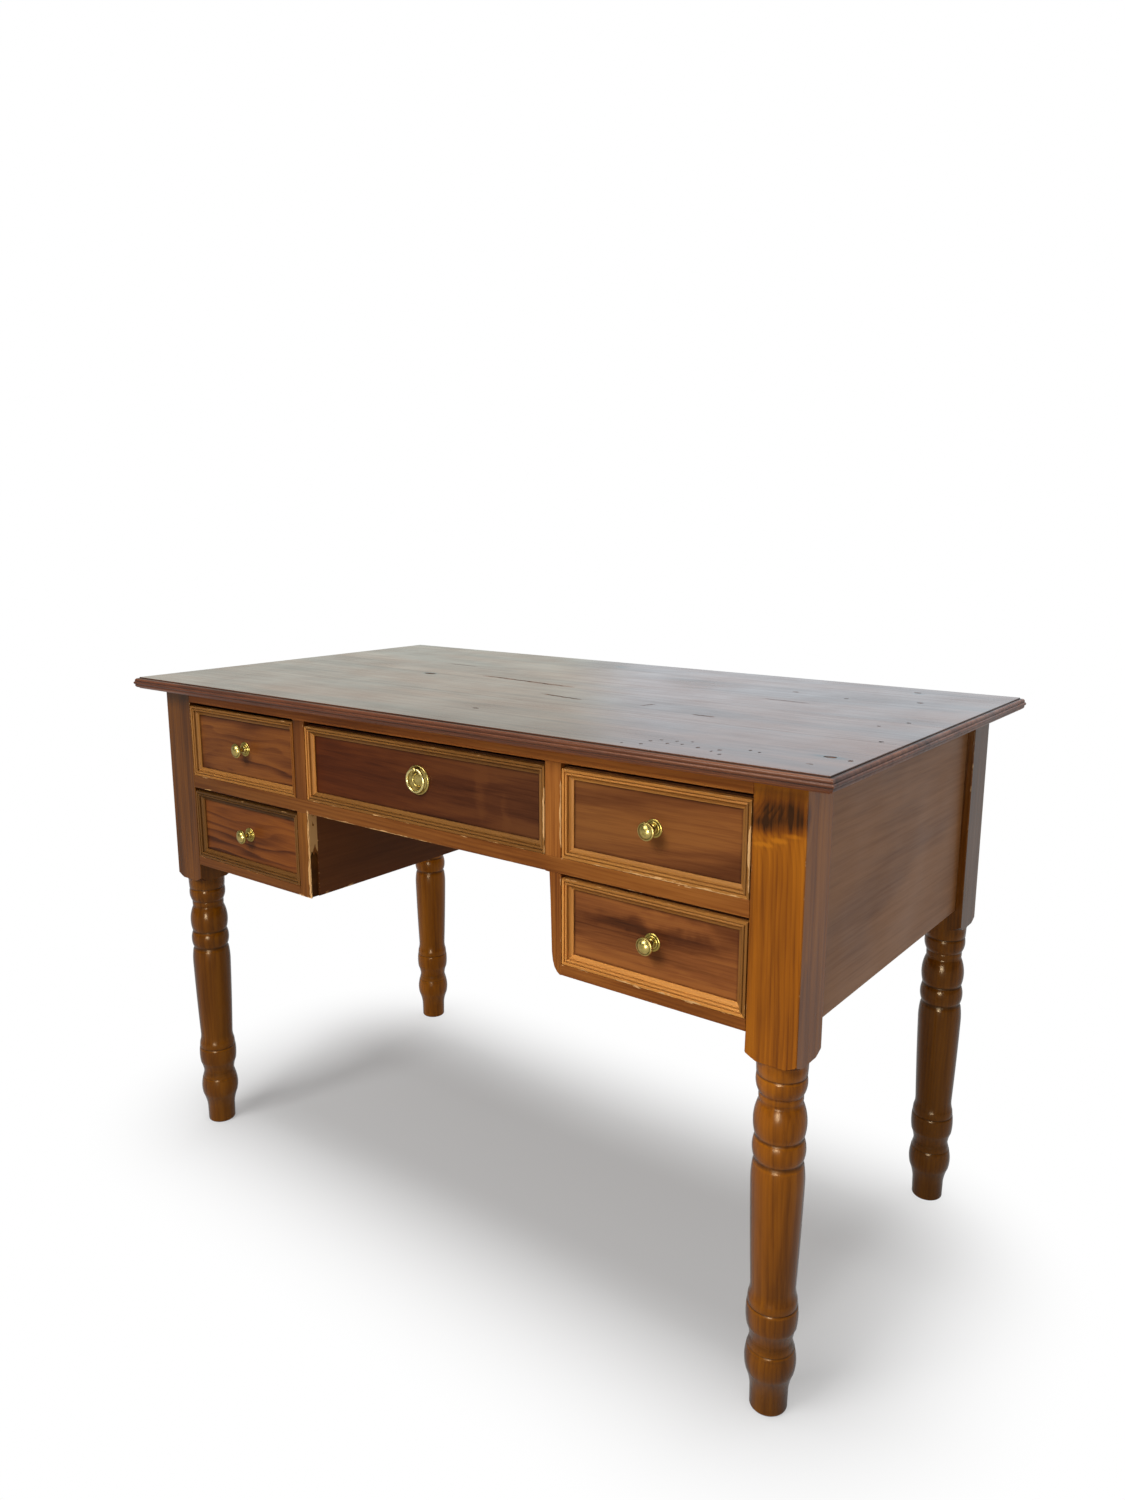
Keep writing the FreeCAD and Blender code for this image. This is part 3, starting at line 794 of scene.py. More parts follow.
# Wear: the chips' level on sound and on worn wood, its soft edge, and its fall inwards to a metre
SOUND_LEVEL = 0.74
WORN_DROP = 0.34
CHIP_EDGE = 0.06
CHIP_FALL = -70.0
# How far crests turn pale: worn polish, also a painted highlight
RUBBED_AND_HIGHLIGHT_SHARE = 0.55

# How bare linings are turned from the desk to their log
LINING_TURN = (0.0, 0.02, -QUARTER_TURN)

# Depths at which the wood has its pale, middle, dark and deep colour
COLOUR_DEPTHS = (0.05, 0.38, 0.72, 1.0)

# What smears, wear and streaks add to the dullness, and what makes up the relief
SMEAR_DULLNESS = 0.22
WORN_DULLNESS = 0.3
STREAK_DULLNESS = 0.06
FIBRE_HEIGHT = 0.5
STREAK_HEIGHT = -0.5
RING_HEIGHT = -0.35
WOOD_RELIEF = 0.0008

# Brass: where tarnish and hollows come up, what they add to the dullness, and the relief
TARNISH_RISE = (0.30, 0.85)
HOLLOW_RISE = (0.05, 0.8, 0.0, 0.9)
TARNISH_DULLNESS = 0.16
HOLLOW_DULLNESS = 0.35
SCRATCH_HEIGHT = 0.4
BRASS_BUMP = 0.12
BRASS_RELIEF = 0.0002


@dataclass(frozen=True)
class Finish:
    """A finish, built once and then shared."""

    name: str

    def material(self) -> bpy.types.Material:
        """Build the finish, or find it where it was built before."""
        built = bpy.data.materials.get(self.name)
        return built or self.build(Sheet(bpy.data.materials.new(self.name)))

    def build(self, sheet: Sheet) -> bpy.types.Material:
        """Lay out the finish on an empty sheet, which each kind of finish does in its own way."""
        raise NotImplementedError(self.name)


@dataclass(frozen=True)
class WoodFinish(Finish):
    """Stained and varnished wood, worn pale along its arrises."""

    pale: Colour
    middle: Colour
    dark: Colour
    deep: Colour
    raw: Colour = paint_colour(226, 176, 116)
    # Dark colour of soiling, also laid as painted shade in hollows and along the fields' edges
    dirt_and_shade: Colour = paint_colour(34, 15, 5)
    ring_gap: float = 0.0036
    ring_depth: float = 0.45
    sway: float = 0.012
    sway_count: tuple[float, float] = (1.3, 6.0)
    streak_depth: float = 0.45
    streak_count: float = 170.0
    streak_length: float = 6.0
    blotch_depth: float = 0.35
    blotch_count: tuple[float, float] = (2.6, 13.0)
    fibre_depth: float = 0.2
    stir: float = 0.012
    wear: float = 0.5
    # How far hollows darken: soiling and painted shade
    grime_and_shade_depth: float = 0.85
    # How far the wood darkens where it is seen edge-on: painted shade
    painted_limb_shade: float = 0.0
    scuffs: tuple[Knot, ...] = ()
    roughness: float = 0.36
    specular: float = 0.13
    gloss_tint: Colour = (1.0, 0.8, 0.56)
    relief: float = 0.12
    source: GrainSource = GrainSource.LOG
    fields: bool = False
    knots: tuple[Knot, ...] = ()

    def build(self, sheet: Sheet) -> bpy.types.Material:
        """Lay out the finish.

        Args:
            sheet: an empty sheet.

        Returns:
            The material.
        """
        place = sheet.place()
        grain = self.log_place(sheet, place)
        stirred = self.stirred(sheet, place)
        push = self.spots(sheet, stirred, PUSH_SPREAD, [(knot, knot.push) for knot in self.knots])
        ring = self.rings(sheet, grain, push)
        knot_depth = self.spots(sheet, stirred, STAIN_SPREAD, [(knot, knot.depth) for knot in self.knots])
        streak = self.streaks(sheet, grain)
        fibre = sheet.noise(grain, FIBRE_COUNT, detail=3.0, roughness=0.6)
        along, across = self.blotch_count
        patches = sheet.noise(grain, (along, across, across), detail=3.0, distortion=0.5)
        blotch = sheet.between(patches, *BLOTCH_RISE)
        depth = sheet.math("MULTIPLY", ring, self.ring_depth)
        depth = sheet.math("MULTIPLY_ADD", streak, self.streak_depth, depth)
        depth = sheet.math("MULTIPLY_ADD", blotch, self.blotch_depth, depth)
        thread = sheet.math("SUBTRACT", fibre, NOISE_MIDDLE)
        depth = sheet.math("MULTIPLY_ADD", thread, self.fibre_depth, depth)
        depth = sheet.math("ADD", depth, knot_depth, clamp=True)
        colours = (self.pale, self.middle, self.dark, self.deep)
        colour = sheet.ramp(depth, list(zip(COLOUR_DEPTHS, colours)))
        # Crests turn pale: worn polish, also a painted highlight
        rubbed = sheet.math("MULTIPLY", sheet.mark(Mark.RUBBED), RUBBED_AND_HIGHLIGHT_SHARE)
        colour = sheet.mix(rubbed, colour, self.pale)
        # Painted shade: the wood darkens where it is seen edge-on, towards a turned leg's silhouette
        if self.painted_limb_shade:
            aside = sheet.add("LayerWeight", {"Blend": 0.5}).outputs["Facing"]
            colour = sheet.mix(sheet.between(aside, *PAINTED_LIMB_SHADE_RISE, 0.0, self.painted_limb_shade), colour, self.deep)
        if self.source is GrainSource.LOG:
            colour = sheet.mix(1.0, colour, sheet.mark(Mark.TONE, "Color"), "MULTIPLY")
        worn = self.worn(sheet, grain, stirred)
        # Soiling, with painted shade in hollows and along the fields' edges
        dirt_and_shade = self.grime(sheet, place)
        colour = sheet.mix(worn, colour, self.raw)
        colour = sheet.mix(dirt_and_shade, colour, self.dirt_and_shade)
        smear = sheet.math("SUBTRACT", sheet.noise(place, SMEAR_COUNT, detail=3.0), NOISE_MIDDLE)
        dullness = sheet.math("MULTIPLY_ADD", smear, SMEAR_DULLNESS, self.roughness)
        dullness = sheet.math("MULTIPLY_ADD", sheet.math("ADD", worn, dirt_and_shade), WORN_DULLNESS, dullness)
        dullness = sheet.math("MULTIPLY_ADD", streak, STREAK_DULLNESS, dullness, clamp=True)
        height = sheet.math("MULTIPLY", streak, STREAK_HEIGHT)
        height = sheet.math("MULTIPLY_ADD", fibre, FIBRE_HEIGHT, height)
        height = sheet.math("MULTIPLY_ADD", ring, RING_HEIGHT, height)
        bump = sheet.add("Bump", {"Strength": self.relief, "Distance": WOOD_RELIEF, "Height": height})
        return sheet.surface({
            "Base Color": colour,
            "Roughness": dullness,
            "Specular IOR Level": self.specular,
            "Specular Tint": (*self.gloss_tint, 1.0),
            "Normal": bump.outputs[0],
        })

    def log_place(self, sheet: Sheet, place: bpy.types.NodeSocket) -> bpy.types.NodeSocket:
        """The place in the log.

        Args:
            sheet: the sheet.
            place: the place on the desk.

        Returns:
            Along the log, and across it from its heart.
        """
        if self.source is GrainSource.LOG:
            return sheet.mark(Mark.GRAIN, "Vector")
        turn = sheet.add("Mapping", {"Vector": place, "Rotation": LINING_TURN})
        return turn.outputs[0]

    def rings(self, sheet: Sheet, grain: Source, push: Source) -> bpy.types.NodeSocket:
        """Growth rings: a slow darkening that ends at a sharp line.

        Args:
            sheet: the sheet.
            grain: the place in the log.
            push: how far knots push the rings, in rings.

        Returns:
            How dark the ring is.
        """
        along, across = self.sway_count
        cloud = sheet.noise(grain, (along, across, across), detail=2.0, output=1)
        bend = sheet.vector("SUBTRACT", cloud, CLOUD_MIDDLE)
        bend = sheet.vector("MULTIPLY", bend, (0.0, self.sway, self.sway))
        section = sheet.vector("MULTIPLY", sheet.vector("ADD", grain, bend), (0.0, 1.0, 1.0))
        count = sheet.math("DIVIDE", sheet.length(section), self.ring_gap)
        uneven = sheet.noise(grain, RING_COUNT, detail=2.0)
        phase = sheet.math("ADD", sheet.math("MULTIPLY_ADD", uneven, RING_UNEVENNESS, count), push)
        share = sheet.math("FRACT", phase)
        late = sheet.between(share, *RING_RISE)
        fall = sheet.between(share, *RING_FALL)
        fade = sheet.between(sheet.noise(grain, RING_FADE_COUNT), *RING_FADE)
        return sheet.math("MULTIPLY", sheet.math("MULTIPLY", late, fall), fade)

    def streaks(self, sheet: Sheet, grain: Source) -> bpy.types.NodeSocket:
        """Fine streaks along the grain.

        Args:
            sheet: the sheet.
            grain: the place in the log.

        Returns:
            How dark the streak is.
        """
        count = self.streak_count
        noise = sheet.noise(grain, (self.streak_length, count, count), detail=4.0, roughness=0.62)
        return sheet.between(noise, *STREAK_RISE)

    def stirred(self, sheet: Sheet, place: Source) -> bpy.types.NodeSocket:
        """The place on the desk, stirred so that spots get uneven outlines.

        Args:
            sheet: the sheet.
            place: the place on the desk.

        Returns:
            The stirred place.
        """
        cloud = sheet.noise(place, STIR_COUNT, detail=3.0, output=1)
        shift = sheet.vector("SUBTRACT", cloud, CLOUD_MIDDLE)
        return sheet.vector("MULTIPLY_ADD", shift, (self.stir,) * 3, place)

    def spots(self, sheet: Sheet, place: Source, spread: float,
              amounts: Sequence[tuple[Knot, float]]) -> Source:
        """Add up what knots or scuffs do at a place.

        Args:
            sheet: the sheet.
            place: the place on the desk.
            spread: how far each one works, as a share of its reach.
            amounts: what each one does in its middle.

        Returns:
            The sum.
        """
        total: Source = 0.0
        for knot, amount in amounts:
            away = sheet.vector("SUBTRACT", place, knot.centre)
            distance = sheet.length(sheet.vector("DIVIDE", away, knot.reach))
            fading_out = sheet.between(distance, SPOT_CORE, spread, 1.0, 0.0)
            total = sheet.math("MULTIPLY_ADD", fading_out, amount, total)
        return total

    def room(self, sheet: Sheet) -> Sequence[bpy.types.NodeSocket]:
        """How far it is along X, Y and Z to the faces of the box that the board fills.

        Args:
            sheet: the sheet.

        Returns:
            The three distances.
        """
        spot = sheet.vector("ABSOLUTE", sheet.mark(Mark.SPOT, "Vector"))
        room = sheet.vector("SUBTRACT", sheet.mark(Mark.REACH, "Vector"), spot)
        return sheet.add("SeparateXYZ", {0: room}).outputs

    def worn(self, sheet: Sheet, grain: Source, place: Source) -> Source:
        """Where the finish is rubbed or splintered through to raw wood, mostly along arrises.

        Args:
            sheet: the sheet.
            grain: the place in the log.
            place: the stirred place on the desk.

        Returns:
            How far it is rubbed through.
        """
        if not self.wear:
            return 0.0
        wide, deep, tall = self.room(sheet)
        most = sheet.math("MAXIMUM", wide, deep)
        inwards = sheet.math("MAXIMUM", sheet.math("MINIMUM", wide, deep), sheet.math("MINIMUM", most, tall))
        chips = sheet.noise(grain, CHIP_COUNT, detail=4.0, roughness=0.65)
        chips = sheet.math("MULTIPLY_ADD", inwards, CHIP_FALL, chips)
        scuffs = self.spots(sheet, place, STAIN_SPREAD, [(scuff, scuff.depth) for scuff in self.scuffs])
        chips = sheet.math("ADD", chips, scuffs)
        edge = SOUND_LEVEL - WORN_DROP * self.wear
        return sheet.between(chips, edge, edge + CHIP_EDGE)

    def grime(self, sheet: Sheet, place: Source) -> bpy.types.NodeSocket:
        """Where soiling and old polish have gathered, with painted shade in hollows and along the fields'
        edges.

        Args:
            sheet: the sheet.
            place: the place on the desk.

        Returns:
            How thick it lies.
        """
        grime = sheet.math("MULTIPLY", sheet.mark(Mark.GRIME), self.grime_and_shade_depth)
        # Painted shade with soiling: a field darkens close to its moulding
        if self.fields:
            wide, _, tall = self.room(sheet)
            nearest = sheet.math("MINIMUM", wide, tall)
            grime = sheet.math("MAXIMUM", grime, sheet.between(nearest, *FIELD_EDGE_GRIME_AND_SHADE))
        patches = sheet.noise(place, GRIME_AND_SHADE_COUNT, detail=3.0)
        return sheet.math("MULTIPLY", grime, sheet.between(patches, *GRIME_AND_SHADE_FADE), clamp=True)


@dataclass(frozen=True)
class BrassFinish(Finish):
    """Old brass, polished on its crests and browned in its hollows."""

    name: str = "old_brass"
    bright: Colour = paint_colour(206, 184, 110)
    dull: Colour = paint_colour(148, 126, 58)
    brown: Colour = paint_colour(66, 51, 16)
    roughness: float = 0.27

    def build(self, sheet: Sheet) -> bpy.types.Material:
        """Lay out the finish.

        Args:
            sheet: an empty sheet.

        Returns:
            The material.
        """
        place = sheet.place()
        cloud = sheet.noise(place, CLOUD_COUNT, detail=4.0, roughness=0.6)
        scratches = sheet.noise(place, SCRATCH_COUNT, detail=2.0)
        tarnish = sheet.between(cloud, *TARNISH_RISE)
        colour = sheet.mix(tarnish, self.bright, self.dull)
        hollow = sheet.between(sheet.mark(Mark.GRIME), *HOLLOW_RISE)
        colour = sheet.mix(hollow, colour, self.brown)
        dullness = sheet.math("MULTIPLY_ADD", tarnish, TARNISH_DULLNESS, self.roughness)
        dullness = sheet.math("MULTIPLY_ADD", hollow, HOLLOW_DULLNESS, dullness, clamp=True)
        height = sheet.math("MULTIPLY_ADD", scratches, SCRATCH_HEIGHT, cloud)
        bump = sheet.add("Bump", {"Strength": BRASS_BUMP, "Distance": BRASS_RELIEF, "Height": height})
        return sheet.surface({
            "Base Color": colour,
            "Metallic": 1.0,
            "Roughness": dullness,
            "Normal": bump.outputs[0],
        })


TOP_FINISH = WoodFinish(
    name="varnished_top",
    pale=paint_colour(104, 62, 36),
    middle=paint_colour(84, 47, 27),
    dark=paint_colour(60, 31, 17),
    deep=paint_colour(30, 14, 8),
    ring_gap=0.0052,
    ring_depth=0.16,
    streak_depth=0.24,
    wear=0.2,
    roughness=0.2,
    specular=0.42,
    gloss_tint=(1.0, 1.0, 1.0),
    relief=0.04,
    knots=(
        Knot((-0.253, -0.001, 0.775), (0.024, 0.014, 0.02), 0.9),
        Knot((0.555, -0.234, 0.775), (0.030, 0.010, 0.02), 0.7),
        Knot((-0.053, 0.263, 0.775), (0.020, 0.012, 0.02), 0.5),
        Knot((0.467, 0.263, 0.775), (0.016, 0.008, 0.02), 0.6),
    ),
)
EDGE_FINISH = WoodFinish(
    name="worn_top_edge",
    pale=paint_colour(138, 82, 48),
    middle=paint_colour(114, 63, 37),
    dark=paint_colour(82, 43, 24),
    deep=paint_colour(40, 19, 10),
    ring_depth=0.15,
    wear=0.42,
    specular=0.4,
    gloss_tint=(1.0, 0.94, 0.84),
    relief=0.06,
)
LEG_FINISH = WoodFinish(
    name="golden_leg_varnish",
    pale=paint_colour(182, 108, 18),
    middle=paint_colour(154, 86, 12),
    dark=paint_colour(112, 57, 8),
    deep=paint_colour(52, 23, 4),
    ring_gap=0.0052,
    ring_depth=0.16,
    streak_depth=0.36,
    streak_count=110.0,
    streak_length=3.0,
    blotch_depth=0.42,
    grime_and_shade_depth=0.6,
    # The legs darken towards their silhouettes as painted shade
    painted_limb_shade=0.75,
    roughness=0.19,
    specular=0.26,
    gloss_tint=(1.0, 0.8, 0.5),
    knots=(
        Knot((0.531, -0.293, 0.720), (0.070, 0.012, 0.028), 0.66, 1.2),
        Knot((0.508, -0.293, 0.706), (0.022, 0.012, 0.013), 0.3, 2.0),
        Knot((0.531, -0.293, 0.752), (0.060, 0.012, 0.009), -0.3, 0.0),
        Knot((0.512, -0.293, 0.687), (0.016, 0.012, 0.004), -0.35, 0.0),
        Knot((0.530, -0.293, 0.694), (0.014, 0.012, 0.004), -0.35, 0.0),
        Knot((0.546, -0.293, 0.701), (0.014, 0.012, 0.004), -0.35, 0.0),
    ),
)
FRAME_FINISH = WoodFinish(
    name="red_brown_frame",
    pale=paint_colour(166, 102, 44),
    middle=paint_colour(138, 78, 30),
    dark=paint_colour(102, 52, 20),
    deep=paint_colour(58, 27, 11),
    ring_depth=0.2,
    streak_depth=0.25,
    scuffs=(
        Knot((-0.221, -0.282, 0.574), (0.004, 0.026, 0.056), 1.0),
        Knot((-0.222, -0.293, 0.496), (0.009, 0.004, 0.042), 0.42),
        Knot((-0.221, -0.293, 0.535), (0.006, 0.006, 0.080), 0.25),
        Knot((-0.240, -0.293, 0.475), (0.020, 0.006, 0.006), 0.2),
        Knot((-0.060, -0.293, 0.602), (0.130, 0.006, 0.004), 0.22),
        Knot((0.245, -0.293, 0.675), (0.003, 0.006, 0.070), 0.3),
    ),
)
PANEL_FINISH = WoodFinish(
    name="dull_panel",
    pale=paint_colour(144, 96, 54),
    middle=paint_colour(124, 80, 44),
    dark=paint_colour(98, 58, 30),
    deep=paint_colour(58, 32, 16),
    ring_depth=0.08,
    ring_gap=0.009,
    streak_depth=0.2,
    blotch_depth=0.3,
    roughness=0.42,
    specular=0.4,
    gloss_tint=(1.0, 0.94, 0.84),
    scuffs=(
        Knot((-0.221, -0.215, 0.478), (0.01, 0.020, 0.008), 0.3),
        Knot((-0.221, -0.262, 0.476), (0.01, 0.012, 0.006), 0.3),
    ),
)
KNEEHOLE_FINISH = replace(
    PANEL_FINISH,
    name="dark_kneehole_panel",
    specular=0.16,
    gloss_tint=(1.0, 0.82, 0.6),
)
MOULDING_FINISH = WoodFinish(
    name="golden_moulding",
    pale=paint_colour(194, 132, 64),
    middle=paint_colour(164, 104, 46),
    dark=paint_colour(120, 69, 27),
    deep=paint_colour(62, 29, 9),
    ring_gap=0.0028,
    ring_depth=0.3,
    streak_depth=0.25,
    wear=0.55,
    grime_and_shade_depth=0.42,
    scuffs=(
        Knot((0.496, -0.293, 0.670), (0.010, 0.012, 0.060), 0.26),
        Knot((0.400, -0.293, 0.624), (0.140, 0.012, 0.010), 0.2),
        Knot((0.219, -0.293, 0.665), (0.005, 0.012, 0.060), 0.3),
        Knot((0.175, -0.293, 0.634), (0.040, 0.012, 0.004), 0.3),
        Knot((0.372, -0.293, 0.489), (0.150, 0.012, 0.012), 0.12),
    ),
)
FIELD_FINISH = WoodFinish(
    name="walnut_field",
    pale=paint_colour(152, 92, 44),
    middle=paint_colour(126, 72, 36),
    dark=paint_colour(88, 46, 23),
    deep=paint_colour(48, 24, 14),
    ring_gap=0.013,
    ring_depth=0.12,
    sway=0.035,
    streak_depth=0.16,
    blotch_depth=0.55,
    blotch_count=(3.2, 20.0),
    fibre_depth=0.45,
    stir=0.03,
    wear=0.0,
    roughness=0.3,
    specular=0.1,
    fields=True,
    knots=(
        Knot((0.112, -0.285, 0.684), (0.014, 0.02, 0.055), -0.22, 0.0),
        Knot((0.150, -0.285, 0.655), (0.009, 0.02, 0.040), -0.16, 0.0),
        Knot((0.400, -0.285, 0.571), (0.085, 0.02, 0.015), -0.35, 0.0),
        Knot((0.330, -0.285, 0.555), (0.080, 0.02, 0.012), 0.18, 0.3),
        Knot((0.420, -0.285, 0.553), (0.060, 0.02, 0.009), 0.12, 0.3),
        Knot((0.430, -0.285, 0.518), (0.070, 0.02, 0.012), 0.1, 0.3),
    ),
)
FIGURED_FINISH = replace(
    FIELD_FINISH,
    name="figured_walnut_field",
    ring_gap=0.019,
    ring_depth=0.5,
    sway=0.08,
    sway_count=(4.5, 12.0),
    blotch_depth=0.3,
    knots=(),
)
LINING_FINISH = WoodFinish(
    name="bare_lining",
    pale=paint_colour(198, 160, 110),
    middle=paint_colour(172, 130, 82),
    dark=paint_colour(134, 94, 54),
    deep=paint_colour(88, 56, 28),
    roughness=0.7,
    specular=0.2,
    source=GrainSource.DESK,
)
BRASS_FINISH = BrassFinish()
PULL_FINISH = BrassFinish(
    name="rubbed_brass",
    bright=paint_colour(246, 228, 158),
    dull=paint_colour(206, 184, 104),
    brown=paint_colour(92, 72, 24),
    roughness=0.2,
)
# Rosettes: browned brass, darker still as painted shade behind the knobs' heads
ROSETTE_FINISH = BrassFinish(
    name="browned_brass",
    bright=paint_colour(186, 164, 86),
    dull=paint_colour(138, 116, 52),
    brown=paint_colour(50, 38, 12),
    roughness=0.28,
)


def dress(piece: bpy.types.Object, finish: Finish, body: str, slot: str, *nodes: str) -> None:
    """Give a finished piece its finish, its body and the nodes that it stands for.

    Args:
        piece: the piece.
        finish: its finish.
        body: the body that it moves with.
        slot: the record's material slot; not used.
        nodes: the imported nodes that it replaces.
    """
    piece.data.materials.clear()
    piece.data.materials.append(finish.material())
    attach(piece, body)
    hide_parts(*nodes)
    log.info("%s: %d faces on %s", piece.name, len(piece.data.polygons), body)


# The desk


# Hollows in the top: middle along X and Y, reach along X, along Y and downwards
DENTS = (
    ((-0.253, -0.001), (0.013, 0.006, 0.0016)),
    ((0.555, -0.234), (0.008, 0.005, 0.0016)),
    ((0.580, -0.240), (0.003, 0.004, 0.0010)),
    ((0.553, -0.279), (0.004, 0.002, 0.0007)),
    ((0.565, -0.121), (0.0030, 0.0032, 0.0040)),
    ((0.524, -0.026), (0.0026, 0.0026, 0.0020)),
    ((0.545, 0.017), (0.0030, 0.0034, 0.0040)),
    ((0.499, 0.182), (0.005, 0.004, 0.0009)),
    ((0.463, 0.273), (0.006, 0.004, 0.0009)),
    ((0.403, 0.158), (0.004, 0.003, 0.0007)),
    ((0.318, 0.174), (0.005, 0.003, 0.0009)),
    ((0.046, -0.221), (0.006, 0.003, 0.0009)),
)

# Small specks in the top near its front right corner: middle along X and Y
SPECKS = (
    (0.337, -0.301),
    (0.357, -0.273),
    (0.358, -0.294),
    (0.364, -0.261),
    (0.380, -0.274),
    (0.382, -0.257),
    (0.396, -0.269),
    (0.398, -0.250),
    (0.419, -0.274),
    (0.441, -0.283),
    (0.445, -0.272),
    (0.456, -0.292),
    (0.472, -0.253),
    (0.485, -0.257),
)

# Cracks in the top: start and end along X and Y, and width
CRACKS = (
    ((-0.199, 0.040), (0.030, 0.0150), 0.0028),
    ((0.028, -0.062), (0.113, -0.076), 0.0024),
    ((0.297, -0.088), (0.334, -0.089), 0.0020),
    ((0.209, -0.074), (0.216, -0.046), 0.0014),
    ((-0.330, 0.120), (-0.255, 0.116), 0.0014),
    ((0.300, 0.090), (0.380, 0.087), 0.0012),
)


@dataclass
class TopBoards:
    """Three boards with a reeded edge."""

    level: float = 0.775
    seams: tuple[float, float] = (-0.128, 0.010)
    seam_arris: float = 0.0020
    arris: float = 0.0006
    grain: Grain = Grain(Axis.X, (0.03, -0.07), 0.5)
    dent_share: float = 1.5
    dent_dirt: float = 0.9
    speck_lift: float = 0.0003
    speck_reach: tuple[Range, Range, Range] = ((0.0010, 0.0028), (0.0020, 0.0034), (0.0009, 0.0016))
    crack_depth: float = 0.004
    crack_overrun: float = 0.001
    crack_steps: int = 14
    crack_wander_share: float = 0.5
    crack_tip_share: float = 0.06
    crack_belly_share: float = 0.44
    crack_ragged_shares: Range = (0.6, 1.0)
    lip_length_share: float = 0.15
    lip_width_share: float = 1.2
    lip_depth_share: float = 0.2
    lip_place_shares: tuple[float, ...] = (0.3, 0.52, 0.72, 0.86)
    lip_dirt: float = 0.1
    front: float = -0.31
    front_edge_tone: Tone = (0.68, 0.61, 0.54)
    end_edge_tone: Tone = 1.0
    low_reed: float = 0.7602
    # Painted light: the lowest reed is lightened against its own shadow underneath
    low_reed_painted_light: Tone = (1.5, 1.4, 1.1)
    # Painted shade: the grooves between the reeds are darkened
    groove_painted_shade: float = 0.2
    grooves: tuple[float, ...] = (0.7732, 0.76834, 0.76348)
    tones: dict[str, float] = field(default_factory=lambda: {"front": 1.0, "middle": 0.97, "rear": 1.03})

    def build(self) -> None:
        """Ease the arrises of each board, cut its flaws and dress it."""
        nodes = [f"top_board_{name}" for name in self.tones]
        boxes = [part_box(node) for node in nodes]
        low, high = [Vector(pick(*corners) for corners in zip(*(box[end] for box in boxes)))
                     for end, pick in ((0, min), (1, max))]
        for node, (board_low, board_high), tone in zip(nodes, boxes, self.tones.values()):
            piece = copy_of_node(node)
            with on_bench(piece):
                ease(piece, self.arris, lambda edge: lies_at(edge, 2, self.level) and not self.at_seam(edge))
            cut_away(piece, self.flaws(board_low.y, board_high.y))
            with on_bench(piece):
                ease(piece, self.seam_arris, self.at_seam)
                soil(piece, 1.0)
            smooth(piece)
            self.grain.lay(piece)
            lay_tone(piece, lambda place: self.tone_at(place, tone))
            mark_room(piece, low, high)
            dress(piece, TOP_FINISH, "case", "top_pine", node)
            piece.data.materials.append(EDGE_FINISH.material())
            for face in piece.data.polygons:
                face.material_index = int(face.center.z < self.level - self.arris)

    def tone_at(self, place: Vector, face_tone: float) -> Tone:
        """Shares of the finish's colour at a place: the polished face, the reeded edge or a groove, with
        painted light on the lowest reed and painted shade in the grooves.

        Args:
            place: the place.
            face_tone: shares on the polished face.

        Returns:
            The shares.
        """
        if place.z > self.level - self.arris / 2:
            return face_tone
        if any(abs(place.z - groove) < LEVEL_TOLERANCE for groove in self.grooves):
            return self.groove_painted_shade
        if place.y > self.front:
            return self.end_edge_tone
        return self.low_reed_painted_light if place.z < self.low_reed else self.front_edge_tone

    def flaws(self, front: float, back: float) -> list[bpy.types.Object]:
        """Blocks that cut the dents and cracks of one board.

        Args:
            front: where the board starts along Y.
            back: where it ends.

        Returns:
            The blocks.
        """
        tools = []
        for number, ((x, y), (long, wide, deep)) in enumerate(DENTS):
            if front < y < back:
                middle = Vector((x, y, self.level + deep / 2))
                reach = (long, wide, self.dent_share * deep)
                tools.append(pebble(f"dent_{number}", middle, reach, self.dent_dirt))
        draw = random.Random("specks")
        for number, (x, y) in enumerate(SPECKS):
            reach = [draw.uniform(*limits) for limits in self.speck_reach]
            if front < y < back:
                middle = Vector((x, y, self.level + self.speck_lift))
                tools.append(pebble(f"speck_{number}", middle, reach, 1.0))
        for number, (start, end, width) in enumerate(CRACKS):
            if front < start[1] < back:
                ends = Vector((*start, 0)), Vector((*end, 0))
                tools.append(self.crack(f"crack_{number}", *ends, width))
                tools += self.sunk_lip(f"lip_{number}", *ends, width)
        return tools

    def sunk_lip(self, name: str, start: Vector, end: Vector, width: float) -> list[bpy.types.Object]:
        """Pebbles that sink the wood in front of a crack a little.

        Args:
            name: start of the pebbles' names.
            start: where the crack starts.
            end: where it ends.
            width: its greatest width.

        Returns:
            The pebbles.
        """
        length = (end - start).length
        reach = (length * self.lip_length_share, self.lip_width_share * width, self.lip_depth_share * width)
        front = Vector((0, -width, self.level))
        middles = [start.lerp(end, share) + front for share in self.lip_place_shares]
        return [pebble(f"{name}_{number}", middle, reach, self.lip_dirt)
                for number, middle in enumerate(middles)]

